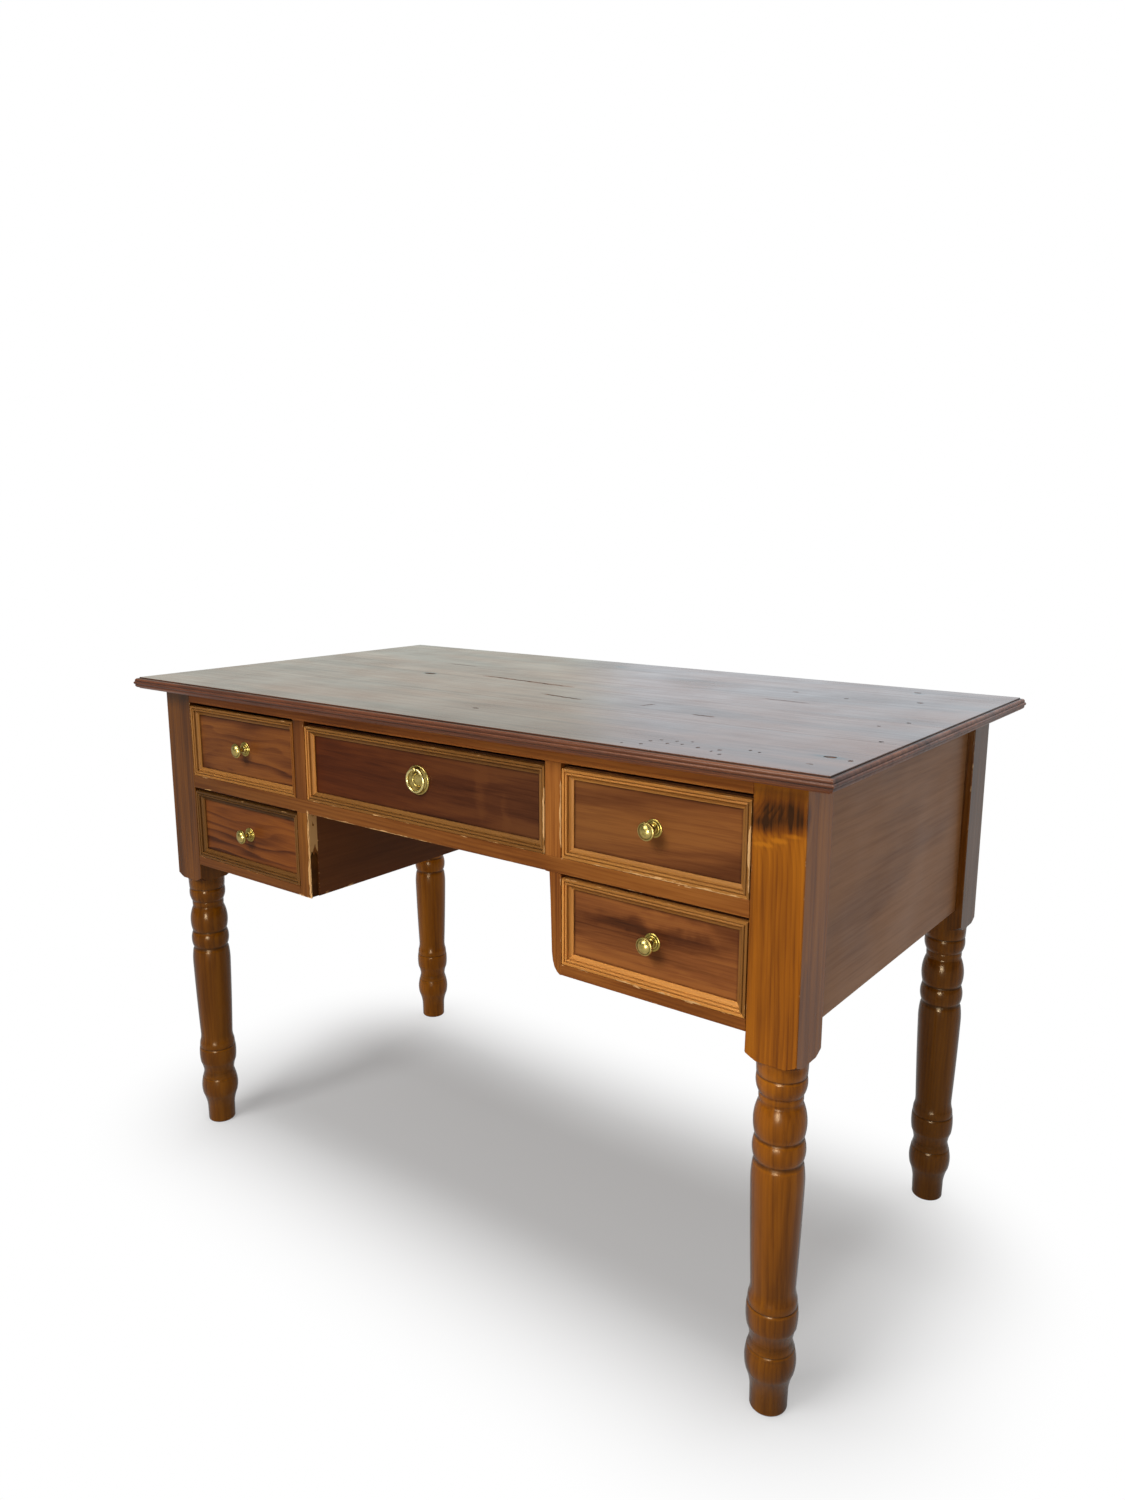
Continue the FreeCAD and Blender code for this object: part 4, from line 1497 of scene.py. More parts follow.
    def crack(self, name: str, start: Vector, end: Vector, width: float) -> bpy.types.Object:
        """A block that cuts one ragged crack, widest in its middle.

        Args:
            name: the block's name.
            start: where the crack starts.
            end: where it ends.
            width: its greatest width.

        Returns:
            The block.
        """
        draw = random.Random(name)
        across = (end - start).cross(Vector((0, 0, 1))).normalized()
        base = Vector((0, 0, self.level + self.crack_overrun))
        wander = self.crack_wander_share
        near, far = [], []
        for step in range(self.crack_steps + 1):
            share = step / self.crack_steps
            middle = base + start.lerp(end, share) + across * draw.uniform(-wander, wander) * width
            belly = self.crack_tip_share + self.crack_belly_share * math.sin(math.pi * share)
            half = across * width * belly * draw.uniform(*self.crack_ragged_shares)
            near.append(middle + half)
            far.append(middle - half)
        return block(name, near + far[::-1], Vector((0, 0, -self.crack_depth)), 1.0)

    def at_seam(self, edge: bmesh.types.BMEdge) -> bool:
        """Whether an edge is an upper arris of a seam between two boards."""
        return lies_at(edge, 2, self.level) and any(lies_at(edge, 1, seam) for seam in self.seams)


# Turned part of a leg from the floor up: radius as a share of half the post, height as a share
# of the turning, bow of the stretch above as a share of half the post
TURNING_SHARES: Shares = (
    (0.0, 0.0, 0.0),
    (0.66, 0.0, 0.02),
    (0.71, 0.008, 0.0),
    (0.725, 0.060, -0.03),
    (0.915, 0.114, 0.055),
    (0.905, 0.176, 0.0),
    (0.895, 0.1815, 0.0),
    (0.865, 0.1840, 0.0),
    (0.870, 0.1865, 0.0),
    (0.803, 0.204, 0.0),
    (0.803, 0.211, -0.02),
    (0.935, 0.247, 0.03),
    (0.950, 0.306, 0.0),
    (0.918, 0.3095, 0.0),
    (0.935, 0.313, 0.0),
    (0.910, 0.330, -0.02),
    (0.84, 0.362, 0.012),
    (0.98, 0.655, 0.02),
    (0.925, 0.711, 0.0),
    (0.875, 0.7185, 0.0),
    (0.875, 0.7235, 0.0),
    (0.915, 0.7275, 0.06),
    (0.905, 0.780, 0.0),
    (0.872, 0.7835, 0.0),
    (0.872, 0.7875, 0.0),
    (0.905, 0.791, 0.095),
    (0.83, 0.876, -0.02),
    (0.805, 0.890, 0.0),
    (0.805, 0.901, -0.015),
    (0.83, 0.908, 0.05),
    (0.905, 0.951, 0.0),
    (0.885, 0.9535, 0.0),
    (0.885, 0.9560, 0.0),
    (0.91, 0.9585, 0.0),
    (0.925, 0.978, -0.012),
    (0.965, 1.0, 0.0),
    (0.0, 1.0, 0.0),
)


@dataclass
class Legs:
    """Four legs, each a square post over a turned shaft."""

    half_post: float = 0.031
    turning: float = 0.442
    arris: float = 0.0013
    grain: Grain = Grain(Axis.Z, (0.045, 0.03), 0.7)
    steps: int = 72
    arc_points: int = 9
    fold: float = 0.45
    crease: float = math.radians(50)
    cut_margin: float = 0.00005
    corner_tolerance: float = 0.0003
    # Shares at each leg's post and at its foot: painted light and shade, some legs lighter, some darker, all
    # darker towards the floor
    tones: dict[str, tuple[float, float]] = field(default_factory=lambda: {
        "front_right": (1.12, 0.46),
        "front_left": (0.5, 0.66),
        "rear_right": (0.56, 0.37),
        "rear_left": (0.97, 0.93),
    })

    def build(self) -> None:
        """Turn one shaft, copy it under each post and dress the legs."""
        outline = bowed(TURNING_SHARES, self.half_post, self.turning, self.half_post, self.arc_points)
        first = turned("leg_shaft", outline, Vector(), Vector((0, 0, 1)), Vector((1, 0, 0)), self.steps)
        mark_hollows(first, self.fold)
        smooth(first, self.crease, flat_faces=False)
        for name, (post_tone, foot_tone) in self.tones.items():
            node = f"leg_{name}"
            low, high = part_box(node)
            middle = (low + high) / 2
            shaft = repeat(first, f"{node}_shaft", Vector((middle.x, middle.y, 0)))
            piece = join(f"{node}_look", self.post(node, middle), shaft)
            self.grain.lay(piece)
            # Painted shade: darker from the post down to the foot
            rise = (post_tone - foot_tone) / self.turning
            lay_tone(piece, lambda place: min(post_tone, foot_tone + rise * place.z))
            mark_room(piece, low, high)
            dress(piece, LEG_FINISH, "case", "leg_pine", node)
        bpy.data.objects.remove(first)

    def post(self, node: str, middle: Vector) -> bpy.types.Object:
        """The square post of one leg with its mortises, its upright arrises eased.

        Args:
            node: the leg's node.
            middle: the leg's middle.

        Returns:
            The closed post.
        """
        piece = copy_of_node(node)
        with on_bench(piece):
            bpy.ops.mesh.select_mode(type="FACE")
            bpy.ops.mesh.select_all(action="DESELECT")
            shape = bmesh.from_edit_mesh(piece.data)
            for face in shape.faces:
                face.select_set(face.calc_center_median().z < self.turning - self.cut_margin)
            bmesh.update_edit_mesh(piece.data)
            bpy.ops.mesh.delete(type="FACE")
            bpy.ops.mesh.select_mode(type="EDGE")
            bpy.ops.mesh.select_all(action="DESELECT")
            bpy.ops.mesh.select_non_manifold()
            bpy.ops.mesh.edge_face_add()
            ease(piece, self.arris, lambda edge: self.at_corner(edge, middle), segments=3)
        smooth(piece)
        return piece

    def at_corner(self, edge: bmesh.types.BMEdge, middle: Vector) -> bool:
        """Whether an edge is one of the post's four upright corners.

        Args:
            edge: the edge.
            middle: the leg's middle.

        Returns:
            True for a corner.
        """
        away = [abs(abs(vertex.co[axis] - middle[axis]) - self.half_post)
                for vertex in edge.verts for axis in (0, 1)]
        return runs_along(edge, 2) and max(away) < self.corner_tolerance


# Outline of the strip broken off the left stile, along Y and Z
BROKEN_STRIP = (
    (-0.2910, 0.4715),
    (-0.2910, 0.5370),
    (-0.2885, 0.5440),
    (-0.2850, 0.5365),
    (-0.2815, 0.5415),
    (-0.2770, 0.5350),
    (-0.2700, 0.5390),
    (-0.2700, 0.4715),
)


# Outline of what is worn off the right stile's inner side and lower corner, along X and Z
WORN_SIDE = (
    (0.2200, 0.6015),
    (0.2275, 0.6015),
    (0.2290, 0.5700),
    (0.2300, 0.5350),
    (0.2310, 0.5000),
    (0.2325, 0.4890),
    (0.2350, 0.4810),
    (0.2390, 0.4755),
    (0.2440, 0.4720),
    (0.2200, 0.4720),
)


@dataclass
class FrontFrame:
    """Rails and uprights of the front, flush with each other."""

    front: float = -0.293
    depth: float = 0.022
    kneehole: float = 0.221
    case_low: float = 0.4725
    opening_top: float = 0.738
    arris: float = 0.0009
    strip: float = 0.0032
    overrun: float = 0.001
    loss_dirt_and_shade: float = 0.8
    pith: Range = (0.05, 0.035)
    lean: float = 0.6
    splinter_start: float = 0.006
    splinter_gap: float = 0.0125
    splinter_count: int = 10
    splinter_wander: float = 0.003
    splinter_reach: tuple[Range, Range, Range] = ((0.0008, 0.0022), (0.0008, 0.0016), (0.004, 0.008))
    gaps: tuple[tuple[float, float, float, float], ...] = (
        (-0.497, -0.246, 0.0022, 0.0014),
        (-0.220, 0.220, 0.0008, 0.0004),
        (0.246, 0.497, 0.0006, 0.0004),
    )
    rails: dict[str, tuple[Tone, Tone]] = field(default_factory=lambda: {
        # The top rail's shares are raised as painted light against the shadow under the top's overhang
        "front_top_rail": ((1.26, 1.2, 1.26), 1.6),
        "front_mid_rail": ((0.46, 0.45, 0.46), 1.06),
        "bottom_rail_left": ((0.52, 0.5, 0.5), 0.6),
        "bottom_rail_right": (1.0, 1.0),
    })
    uprights: dict[str, tuple[Tone, Tone]] = field(default_factory=lambda: {
        "divider_left": ((0.45, 0.42, 0.4), 0.8),
        "divider_right": (1.1, 1.1),
        "kneehole_stile_left": ((0.86, 0.94, 0.74), (1.0, 1.12, 0.84)),
        "kneehole_stile_right": (1.0, 1.0),
    })

    def build(self) -> None:
        """Ease the front arrises of each piece and dress it."""
        for nodes, number, axis in ((self.rails, 0, Axis.X), (self.uprights, 2, Axis.Z)):
            for node, ends in nodes.items():
                low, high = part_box(node)
                piece = copy_of_node(node)
                with on_bench(piece):
                    ease(piece, self.arris,
                         lambda edge: runs_along(edge, number) and lies_at(edge, 1, self.front))
                cut_away(piece, self.losses(node))
                smooth(piece)
                Grain(axis, self.pith, self.lean).lay(piece)
                lay_tone(piece, fading(ends, low.x, high.x))
                mark_room(piece, low, high)
                dress(piece, FRAME_FINISH, "case", "frame_pine", node)

    def losses(self, node: str) -> list[bpy.types.Object]:
        """Blocks that cut away what a piece has lost.

        Args:
            node: the piece's node.

        Returns:
            The blocks.
        """
        if node == "front_top_rail":
            return [self.gap(number, *sides) for number, sides in enumerate(self.gaps)]
        if node == "kneehole_stile_left":
            return [self.broken_strip(), *self.splinters()]
        if node in ("kneehole_stile_right", "bottom_rail_right"):
            return [self.worn_side()]
        return []

    def gap(self, number: int, left: float, right: float, left_gap: float,
            right_gap: float) -> bpy.types.Object:
        """The wedge worn off the top rail over one drawer.

        Args:
            number: number of the wedge.
            left: where it starts.
            right: where it ends.
            left_gap: its height at the left.
            right_gap: its height at the right.

        Returns:
            The block.
        """
        under = self.opening_top - self.overrun
        corners = [(left, under), (right, under), (right, self.opening_top + right_gap),
                   (left, self.opening_top + left_gap)]
        # Its cut faces are soiled, which also stands as painted shade in the gap
        return self.front_block(f"gap_{number}", corners, self.loss_dirt_and_shade)

    def worn_side(self) -> bpy.types.Object:
        """What is worn off the right stile's inner side."""
        return self.front_block("worn_side", WORN_SIDE, 0.0)

    def front_block(self, name: str, corners: Sequence[Range], dirt_and_shade: float) -> bpy.types.Object:
        """A cutting block right through the frame.

        Args:
            name: the block's name.
            corners: its outline along X and Z.
            dirt_and_shade: how dirty the faces that it cuts are; in a gap over a drawer this also stands as
                painted shade.

        Returns:
            The block.
        """
        face = [Vector((x, self.front - self.overrun, z)) for x, z in corners]
        return block(name, face, Vector((0, self.depth + 2 * self.overrun, 0)), dirt_and_shade)

    def broken_strip(self) -> bpy.types.Object:
        """The lower half of the left stile's inner side, which is broken off."""
        face = [Vector((-self.kneehole - self.strip, y, z)) for y, z in BROKEN_STRIP]
        return block("broken_strip", face, Vector((self.strip + self.overrun, 0, 0)), self.loss_dirt_and_shade)

    def splinters(self) -> list[bpy.types.Object]:
        """Splinters lost along the left stile's inner arris.

        Returns:
            The blocks.
        """
        draw = random.Random("splinters")
        wander = self.splinter_wander
        tools = []
        for number in range(self.splinter_count):
            z = self.case_low + self.splinter_start + self.splinter_gap * number
            middle = Vector((-self.kneehole, self.front, z + draw.uniform(-wander, wander)))
            reach = [draw.uniform(*limits) for limits in self.splinter_reach]
            tools.append(pebble(f"splinter_{number}", middle, reach, 0.0))
        return tools


@dataclass
class Panels:
    """End panels, kneehole partitions and back boards."""

    arris: float = 0.0009
    kneehole: float = 0.221
    rounding: float = 0.012
    rounding_steps: int = 5
    pith: Range = (0.02, 0.09)
    lean: float = 0.9
    panels: dict[str, tuple[WoodFinish, Axis, Tone]] = field(default_factory=lambda: {
        "end_panel_left": (PANEL_FINISH, Axis.Y, 1.0),
        "end_panel_right": (PANEL_FINISH, Axis.Y, 1.3),
        "partition_left": (KNEEHOLE_FINISH, Axis.Y, (0.62, 0.46, 0.36)),
        "partition_right": (KNEEHOLE_FINISH, Axis.Y, (0.66, 0.54, 0.45)),
        "back_apron": (PANEL_FINISH, Axis.X, 0.8),
        "pedestal_backs": (PANEL_FINISH, Axis.X, 0.8),
    })

    def build(self) -> None:
        """Ease the lower arrises of each panel and dress it."""
        for node, (finish, axis, tone) in self.panels.items():
            piece = copy_of_node(node)
            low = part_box(node)[0].z
            with on_bench(piece):
                ease(piece, self.rounding, lambda edge: self.at_rounding(edge, low), self.rounding_steps)
                ease(piece, self.arris,
                     lambda edge: runs_along(edge, axis.value[0]) and lies_at(edge, 2, low))
            smooth(piece)
            Grain(axis, self.pith, self.lean).lay(piece)
            lay_tone(piece, tone)
            mark_room(piece, *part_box(node))
            dress(piece, finish, "case", "panel_pine", node)

    def at_rounding(self, edge: bmesh.types.BMEdge, low: float) -> bool:
        """Whether an edge is the worn lower arris of the right partition."""
        return runs_along(edge, 1) and lies_at(edge, 0, self.kneehole) and lies_at(edge, 2, low)


@dataclass(frozen=True)
class DrawerLook:
    """A drawer's walnut, and shares of the finishes' colours at its ends and on its strips. The strips'
    shares are painted light and shade: each strip lighter or darker by how its faces turn to the light.

    The top strip can sit sunk below the front's upper edge.
    """

    walnut: WoodFinish
    ends: tuple[Colour, Colour]
    top: Tone
    right: Tone
    bottom: Tone
    left: Tone
    sunk: float = 0.0


# Section of a drawer moulding: distance from its outer edge as a share of its width, depth
# behind its front and bow as shares of its depth
MOULDING_SHARES: Shares = (
    (0.0, 0.0, 0.0),
    (0.25, 0.0, 0.0),
    (0.275, 0.24, 0.0),
    (0.325, 0.24, 0.0),
    (0.35, 0.10, 0.10),
    (0.55, 0.14, 0.0),
    (0.575, 0.46, 0.0),
    (0.625, 0.46, 0.0),
    (0.65, 0.40, -0.05),
    (0.95, 0.80, 0.0),
    (1.0, 0.84, 0.0),
    (1.0, 1.0, 0.0),
    (0.0, 1.0, 0.0),
)


@dataclass
class Drawer:
    """One drawer: its walnut front, its mitred moulding and its bare box."""

    name: str
    look: DrawerLook
    moulding_width: float = 0.013
    moulding_depth: float = 0.008
    arris: float = 0.0005
    arc_points: int = 6
    fold: float = 0.7
    front_grain: Grain = Grain(Axis.X, (0.02, 0.05), 1.6)
    strip_grain: Grain = Grain(Axis.X, (0.03, 0.02), 0.5)

    @property
    def body(self) -> str:
        """The body that the drawer's pieces move with."""
        return f"{self.name}_drawer"

    def build(self) -> None:
        """Make the front and the moulding, and dress the box."""
        self.make_front()
        self.make_moulding()
        for part in ("sides", "back", "bottom"):
            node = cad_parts[f"{self.name}_{part}"]
            node.data.materials.clear()
            node.data.materials.append(LINING_FINISH.material())

    def make_front(self) -> None:
        """The walnut front, which knows how far each point is from its moulding."""
        node = f"{self.name}_front"
        low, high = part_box(node)
        inset = Vector((self.moulding_width, 0, self.moulding_width))
        piece = copy_of_node(node)
        smooth(piece)
        self.front_grain.lay(piece)
        lay_tone(piece, fading(self.look.ends, low.x, high.x))
        # The distance to the moulding lets the field darken near it: soiling and painted shade
        mark_room(piece, low + inset, high - inset - Vector((0, 0, self.look.sunk)))
        dress(piece, self.look.walnut, self.body, "drawer_walnut", node)

    def make_moulding(self) -> None:
        """Four moulded strips, mitred where they meet."""
        node = f"{self.name}_moulding"
        low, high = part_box(node)
        high = high - Vector((0, 0, self.look.sunk))
        middle = (low + high) / 2
        wide, tall = high.x - low.x, high.z - low.z
        sides = {
            "top": (self.look.top, wide, 0.0, Vector((middle.x, low.y, high.z))),
            "right": (self.look.right, tall, QUARTER_TURN, Vector((high.x, low.y, middle.z))),
            "bottom": (self.look.bottom, wide, 2 * QUARTER_TURN, Vector((middle.x, low.y, low.z))),
            "left": (self.look.left, tall, -QUARTER_TURN, Vector((low.x, low.y, middle.z))),
        }
        strips = []
        for side, (tone, length, angle, place) in sides.items():
            strip = self.strip(f"{node}_{side}", length)
            # Painted light and shade: each strip gets its own share
            lay_tone(strip, tone)
            strip.matrix_world = Matrix.Translation(place) @ Matrix.Rotation(angle, 4, "Y")
            take_up(strip)
            settle()
            strips.append(strip)
        piece = join(f"{node}_look", *strips)
        mark_room(piece, low, high)
        dress(piece, MOULDING_FINISH, self.body, "moulding_pine", node)

    def strip(self, name: str, length: float) -> bpy.types.Object:
        """One strip along X, its outer edge upwards, mitred at both ends.

        Args:
            name: the strip's name.
            length: its length along the outer edge.

        Returns:
            The strip.
        """
        wide, deep = self.moulding_width, self.moulding_depth
        outline = bowed(MOULDING_SHARES, wide, deep, deep, self.arc_points)
        start = -length / 2
        piece = chain(name, [Vector((start, depth, -inset)) for inset, depth in outline])
        with on_bench(piece):
            bpy.ops.mesh.select_all(action="SELECT")
            bpy.ops.mesh.edge_face_add()
            bpy.ops.mesh.extrude_region_move(TRANSFORM_OT_translate={"value": (length, 0, 0)})
            for way in (-1.0, 1.0):
                bpy.ops.mesh.select_all(action="SELECT")
                corner = (way * length / 2, 0, 0)
                bpy.ops.mesh.bisect(plane_co=corner, plane_no=(way, 0, -1.0), use_fill=True, clear_outer=True)
            close_up()
            ease(piece, self.arris, lambda edge: runs_along(edge, 0) and lies_at(edge, 1, 0.0))
        mark_hollows(piece, self.fold)
        smooth(piece)
        self.strip_grain.lay(piece)
        return piece


# Head of a knob from its seat to its crown: radius and bow as shares of the knob's radius,
# height as a share of its projection
KNOB_SHARES: Shares = (
    (0.52, 0.14, 0.05),
    (0.36, 0.22, -0.06),
    (0.36, 0.45, -0.08),
    (0.84, 0.66, 0.0),
    (0.96, 0.68, 0.05),
    (0.97, 0.81, 0.0),
    (0.78, 0.84, 0.0),
    (0.74, 0.86, 0.075),
    (0.10, 1.0, 0.0),
    (0.0, 1.0, 0.0),
)

# Raised rings of a rosette and of the ring pull's plate, from the rim inwards: radius, height
# and bow as shares of the disc's radius and of its thickness
ROSETTE_SHARES: Shares = (
    (1.0, 0.30, 0.14),
    (0.80, 0.62, 0.0),
    (0.76, 0.56, 0.14),
    (0.56, 1.0, 0.0),
)
PLATE_SHARES: Shares = (
    (1.0, 0.40, 0.32),
    (0.87, 0.52, 0.0),
    (0.84, 0.40, -0.10),
    (0.52, 0.46, 0.0),
    (0.50, 0.58, 0.34),
    (0.39, 0.60, 0.0),
    (0.37, 0.44, 0.0),
    (0.335, 0.44, 0.0),
    (0.0, 0.44, 0.0),
)
FORWARD = Vector((0, -1, 0))
RIGHTWARD = Vector((1, 0, 0))


@dataclass
class Knobs:
    """Turned brass knobs on stamped rosettes."""

    drawers: tuple[str, ...] = ("upper_left", "lower_left", "upper_right", "lower_right")
    field_level: float = -0.285
    knob_radius: float = 0.0109
    projection: float = 0.022
    shank_radius: float = 0.0026
    shank_length: float = 0.013
    bore_radius: float = 0.0028
    rosette_radius: float = 0.011
    rosette_thickness: float = 0.0024
    steps: int = 56
    knob_arc_points: int = 8
    rosette_arc_points: int = 6
    fold: float = 0.6
    crease: float = math.radians(40)

    def build(self) -> None:
        """Turn one knob and one rosette and copy them to every drawer."""
        models = {"knob": (self.knob(), BRASS_FINISH), "rosette": (self.rosette(), ROSETTE_FINISH)}
        for drawer in self.drawers:
            low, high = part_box(f"{drawer}_knob")
            middle = (low + high) / 2
            place = Vector((middle.x, self.field_level, middle.z))
            for part, (model, finish) in models.items():
                node = f"{drawer}_{part}"
                piece = repeat(model, f"{node}_look", place)
                dress(piece, finish, f"{drawer}_drawer", "brass", node)
        for model, _ in models.values():
            bpy.data.objects.remove(model)

    def knob(self) -> bpy.types.Object:
        """One knob with its shank, pointing forward from the origin.

        Returns:
            The knob.
        """
        seat = self.rosette_thickness
        outline = [
            (0.0, -self.shank_length),
            (self.shank_radius, -self.shank_length),
            (self.shank_radius, seat),
            (self.knob_radius * KNOB_SHARES[0][0], seat),
        ]
        radius = self.knob_radius
        outline += bowed(KNOB_SHARES, radius, self.projection, radius, self.knob_arc_points)
        piece = turned("knob", outline, Vector(), FORWARD, RIGHTWARD, self.steps)
        mark_hollows(piece, self.fold)
        smooth(piece, self.crease, flat_faces=False)
        return piece

    def rosette(self) -> bpy.types.Object:
        """One rosette, bored for the shank, facing forward at the origin.

        Returns:
            The rosette.
        """
        thick = self.rosette_thickness
        outline = [(self.bore_radius, thick), (self.bore_radius, 0.0), (self.rosette_radius, 0.0)]
        outline += bowed(ROSETTE_SHARES, self.rosette_radius, thick, thick, self.rosette_arc_points)
        outline.append((self.bore_radius, thick))
        piece = turned("rosette", outline, Vector(), FORWARD, RIGHTWARD, self.steps)
        mark_hollows(piece, self.fold)
        smooth(piece, self.crease, flat_faces=False)
        return piece


@dataclass
class RingPull:
    """A ring hung from an eye bolt over a stamped plate."""

    plate_centre: tuple[float, float, float] = (0.0, -0.285, 0.68225)
    plate_radius: float = 0.0202
    plate_thickness: float = 0.0028
    ring_level: float = -0.291
    ring_radius: float = 0.0152
    wire_radius: float = 0.0019
    wire_points: int = 20
    steps: int = 72
    arc_points: int = 8
    fold: float = 0.6
    plate_crease: float = math.radians(40)
    ring_crease: float = math.radians(60)

    def build(self) -> None:
        """Make the plate, the bolt and the ring, and dress them."""
        thick = self.plate_thickness
        outline = [(0.0, 0.0), (self.plate_radius, 0.0)]
        outline += bowed(PLATE_SHARES, self.plate_radius, thick, thick, self.arc_points)
        plate = turned("ring_plate_look", outline, Vector(self.plate_centre), FORWARD, RIGHTWARD, self.steps)
        bolt = copy_of_node("ring_bolt")
        for piece, node in ((plate, "ring_plate"), (bolt, "ring_bolt")):
            mark_hollows(piece, self.fold)
            smooth(piece, self.plate_crease, flat_faces=False)
            dress(piece, BRASS_FINISH, "centre_drawer", "brass", node)
        ring = self.ring()
        dress(ring, PULL_FINISH, "ring", "brass", "pull_ring")

    def ring(self) -> bpy.types.Object:
        """The ring, spun from a circle of its wire.

        Returns:
            The ring.
        """
        centre = Vector((self.plate_centre[0], self.ring_level, self.plate_centre[2]))
        clear_bench()
        start = centre + RIGHTWARD * self.ring_radius
        bpy.ops.mesh.primitive_circle_add(vertices=self.wire_points, radius=self.wire_radius, location=start)
        piece = bpy.context.active_object
        piece.name = "pull_ring_look"
        settle()
        with on_bench(piece):
            bpy.ops.mesh.select_all(action="SELECT")
            bpy.ops.mesh.spin(steps=self.steps, angle=FULL_TURN, center=centre, axis=FORWARD)
            close_up()
        mark_hollows(piece, self.fold)
        smooth(piece, self.ring_crease, flat_faces=False)
        return piece


@dataclass
class Supports:
    """Runners, kickers and stops inside the case, left bare."""

    nodes: tuple[str, ...] = ("drawer_runners", "drawer_kickers", "drawer_stops")

    def build(self) -> None:
        """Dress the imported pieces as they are."""
        for node in self.nodes:
            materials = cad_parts[node].data.materials
            materials.clear()
            materials.append(LINING_FINISH.material())
            log.info("%s: bare wood", node)


@dataclass(frozen=True)
class Lamp:
    """A soft light with a flat face: its place, its target, the face's width and height, and its watts."""

    name: str
    place: tuple[float, float, float]
    target: tuple[float, float, float]
    size: tuple[float, float]
    power: float
    lights_matte: bool = True


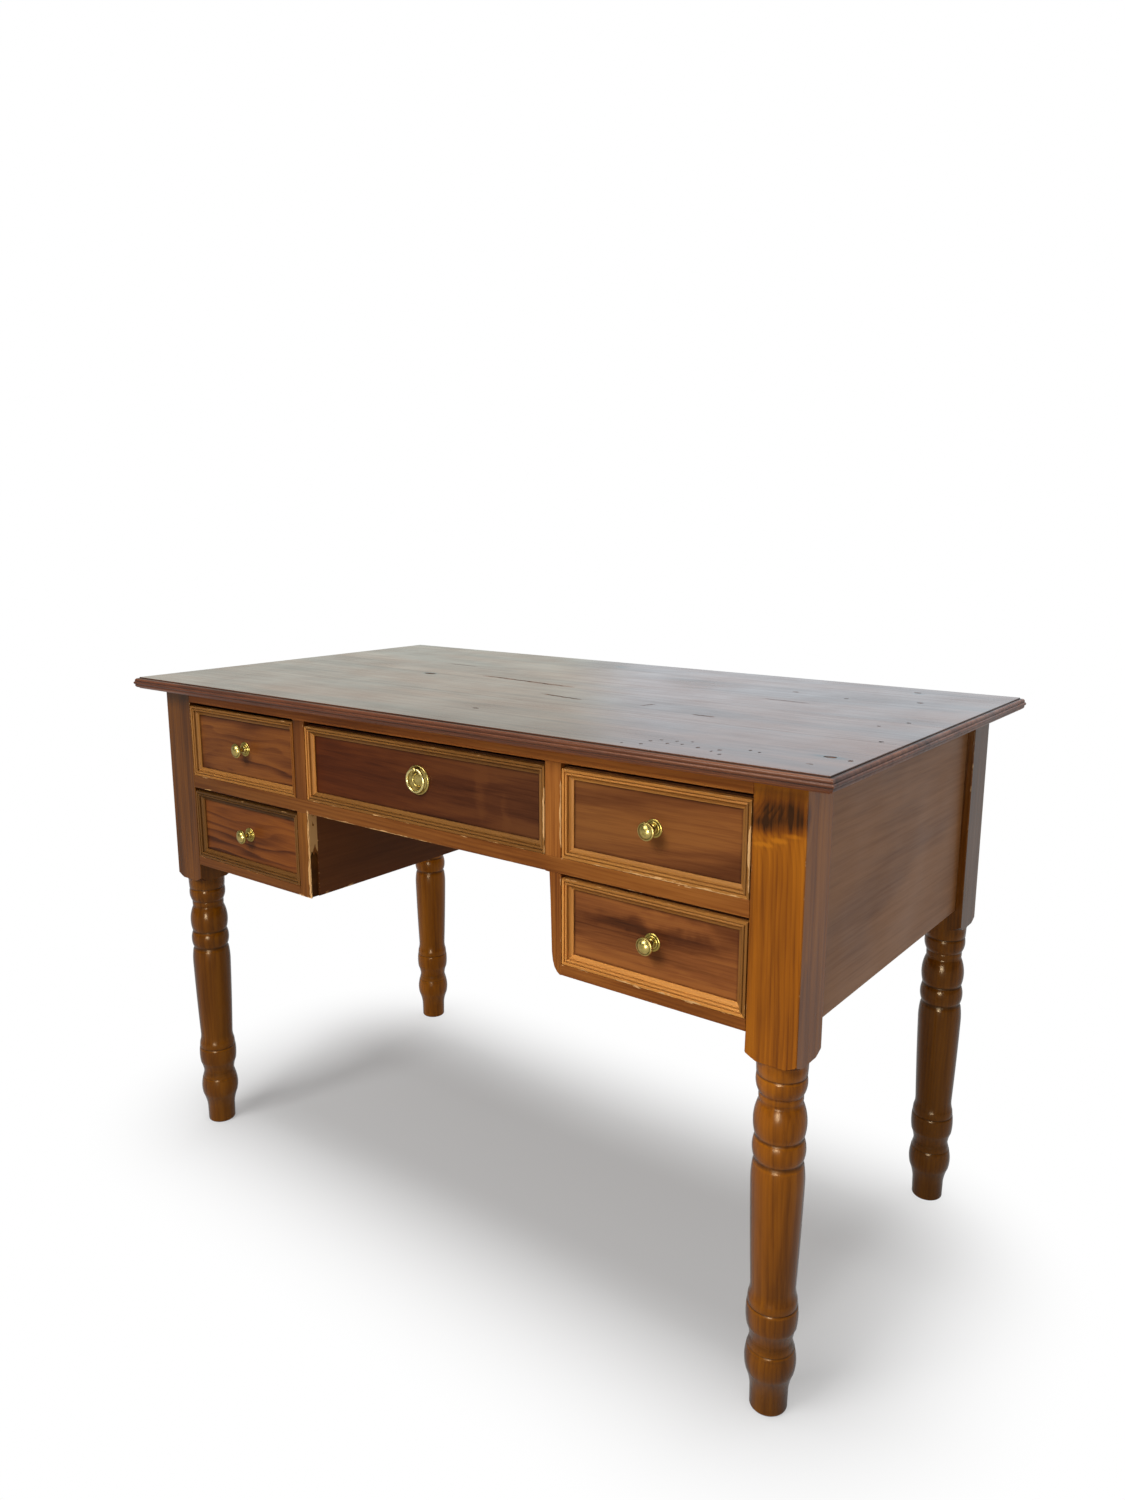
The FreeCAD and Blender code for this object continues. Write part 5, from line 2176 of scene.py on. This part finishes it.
@dataclass
class Studio:
    """A pale floor, soft light from above and from the front, and the camera.

    The last lamp only shows mirrored in varnish and brass.
    """

    lamps: tuple[Lamp, ...] = (
        Lamp("overhead", (0.0, 0.1, 6.0), (0.0, 0.0, 0.0), (2.8, 2.8), 230.0),
        Lamp("front_fill", (-0.5, -2.5, 2.6), (0.0, 0.0, 0.5), (1.6, 1.2), 63.0),
        Lamp("glint", (1.15, -2.58, 0.62), (0.4, -0.26, 0.4), (0.7, 0.7), 46.0, lights_matte=False),
    )
    camera_place: tuple[float, float, float] = (1.0194, -1.2942, 1.0082)
    camera_pitch: float = 11.36
    camera_turn: float = 37.63
    lens: float = 26.378
    sensor: float = 36.0
    ambient: float = 0.44
    mirrored_front: float = 0.12
    mirrored_rise: Range = (0.1, 0.75)
    mirrored_floor: float = 0.6
    window_turn: float = 34.9
    window_rise: Range = (-0.05, 0.03)
    window_colour: Colour = (0.95, 1.12, 1.22)
    wall_colour: Colour = (0.81, 0.92, 0.85)
    floor_size: float = 30.0
    floor_colour: Colour = (0.61, 0.61, 0.61)
    floor_bounce: Colour = (0.3, 0.28, 0.25)
    floor_lift: float = 0.04
    shadow_middle: tuple[float, float, float] = (-0.01, -0.05, 0.0)
    shadow_core: tuple[float, float, float] = (0.46, 0.10, 0.0)
    shadow_reach: tuple[float, float] = (-0.03, 0.37)

    def build(self) -> None:
        """Set up the floor, the lights, the surroundings and the camera."""
        scene = bpy.context.scene
        scene.view_settings.view_transform = "Standard"
        self.make_floor()
        for lamp in self.lamps:
            self.hang(lamp)
        self.make_surroundings()
        camera = bpy.data.cameras.new("camera")
        camera.lens = self.lens
        camera.sensor_width = self.sensor
        holder = bpy.data.objects.new("camera", camera)
        holder.location = self.camera_place
        pitch = QUARTER_TURN - math.radians(self.camera_pitch)
        holder.rotation_euler = (pitch, 0.0, math.radians(self.camera_turn))
        scene.collection.objects.link(holder)
        scene.camera = holder

    def hang(self, lamp: Lamp) -> None:
        """Hang one soft light.

        Args:
            lamp: the light.
        """
        light = bpy.data.lights.new(lamp.name, "AREA")
        light.shape = "RECTANGLE"
        light.size, light.size_y = lamp.size
        light.energy = lamp.power
        holder = bpy.data.objects.new(lamp.name, light)
        holder.location = lamp.place
        way = Vector(lamp.target) - Vector(lamp.place)
        holder.rotation_euler = way.to_track_quat("-Z", "Y").to_euler()
        holder.visible_camera = False
        holder.visible_diffuse = lamp.lights_matte
        bpy.context.scene.collection.objects.link(holder)

    def make_floor(self) -> None:
        """A pale floor that keeps the desk's shadow and fades to white away from it."""
        clear_bench()
        bpy.ops.mesh.primitive_plane_add(size=self.floor_size)
        floor = bpy.context.active_object
        floor.name = "floor"
        sheet = Sheet(bpy.data.materials.new("pale_floor"))
        path = sheet.add("LightPath").outputs
        seen = sheet.math("ADD", path["Is Camera Ray"], path["Is Glossy Ray"])
        seen = sheet.math("ADD", seen, path["Is Transmission Ray"], clamp=True)
        cloth = sheet.add("BsdfDiffuse", {"Color": sheet.mix(seen, self.floor_bounce, self.floor_colour)})
        lift = sheet.add("Emission", {"Strength": sheet.math("MULTIPLY", seen, self.floor_lift)})
        near = sheet.add("AddShader", {0: cloth.outputs[0], 1: lift.outputs[0]})
        strength = sheet.add("Mix", {0: path["Is Glossy Ray"], 2: 1.0, 3: self.mirrored_floor}).outputs[0]
        white = sheet.add("Emission", {"Strength": strength})
        away = sheet.vector("SUBTRACT", sheet.place(), self.shadow_middle)
        beyond = sheet.vector("SUBTRACT", sheet.vector("ABSOLUTE", away), self.shadow_core)
        distance = sheet.length(sheet.vector("MAXIMUM", beyond, (0.0, 0.0, 0.0)))
        far = sheet.math("MULTIPLY", sheet.between(distance, *self.shadow_reach), seen)
        both = sheet.add("MixShader", {0: far, 1: near.outputs[0], 2: white.outputs[0]})
        sheet.end(both, "OutputMaterial")
        floor.data.materials.append(sheet.owner)

    def make_surroundings(self) -> None:
        """White behind the desk, and a plain even light all round."""
        sheet = Sheet(bpy.data.worlds.new("studio"))
        bpy.context.scene.world = sheet.owner
        path = sheet.add("LightPath").outputs
        turn = math.radians(self.camera_turn)
        behind = (-math.sin(turn), math.cos(turn), 0.0)
        way = sheet.add("TexCoord").outputs["Generated"]
        facing = sheet.dot(way, behind)
        mirrored = sheet.between(facing, *self.mirrored_rise, self.mirrored_front, 1.0)
        glossy = sheet.math("ADD", path["Is Glossy Ray"], path["Is Transmission Ray"], clamp=True)
        level = sheet.add("Mix", {0: glossy, 2: self.ambient, 3: mirrored}).outputs[0]
        level = sheet.add("Mix", {0: path["Is Camera Ray"], 2: level, 3: 1.0}).outputs[0]
        edge = math.radians(self.window_turn)
        window = sheet.dot(way, (math.cos(edge), math.sin(edge), 0.0))
        room = sheet.mix(sheet.between(window, *self.window_rise), self.wall_colour, self.window_colour)
        colour = sheet.mix(glossy, (1.0, 1.0, 1.0), room)
        sky = sheet.add("Background", {"Color": colour, "Strength": level})
        sheet.end(sky, "OutputWorld")


# Per drawer: its walnut, shares at its front's ends, and the moulding strips' shares, which are painted light
# and shade
DRAWERS = {
    "upper_left": DrawerLook(
        FIGURED_FINISH, ((0.74, 0.74, 0.7), (0.78, 0.74, 0.66)),
        top=0.62, right=(0.54, 0.42, 0.25), bottom=0.76, left=0.72),
    "lower_left": DrawerLook(
        FIGURED_FINISH, ((0.86, 0.8, 0.62), (0.9, 0.8, 0.58)),
        top=0.2, right=0.42, bottom=0.32, left=0.38, sunk=0.0018),
    "centre": DrawerLook(
        FIELD_FINISH, ((0.39, 0.24, 0.14), (0.46, 0.46, 0.64)),
        top=0.56, right=0.58, bottom=0.5, left=1.3, sunk=0.0026),
    "upper_right": DrawerLook(
        FIELD_FINISH, ((0.84, 0.91, 1.02), (1.02, 1.06, 1.12)),
        top=1.2, right=0.62, bottom=0.9, left=1.3, sunk=0.0024),
    "lower_right": DrawerLook(
        FIELD_FINISH, ((1.14, 1.18, 1.24), (1.3, 1.34, 1.36)),
        top=0.96, right=0.62, bottom=1.4, left=1.42, sunk=0.0014),
}


def main() -> None:
    """Build the desk piece by piece and set up the studio."""
    logging.basicConfig(level=logging.INFO, format="%(name)s %(message)s")
    Studio().build()
    TopBoards().build()
    Legs().build()
    FrontFrame().build()
    Panels().build()
    for name, look in DRAWERS.items():
        Drawer(name, look).build()
    Knobs().build()
    RingPull().build()
    Supports().build()


if __name__ == "__main__":
    main()
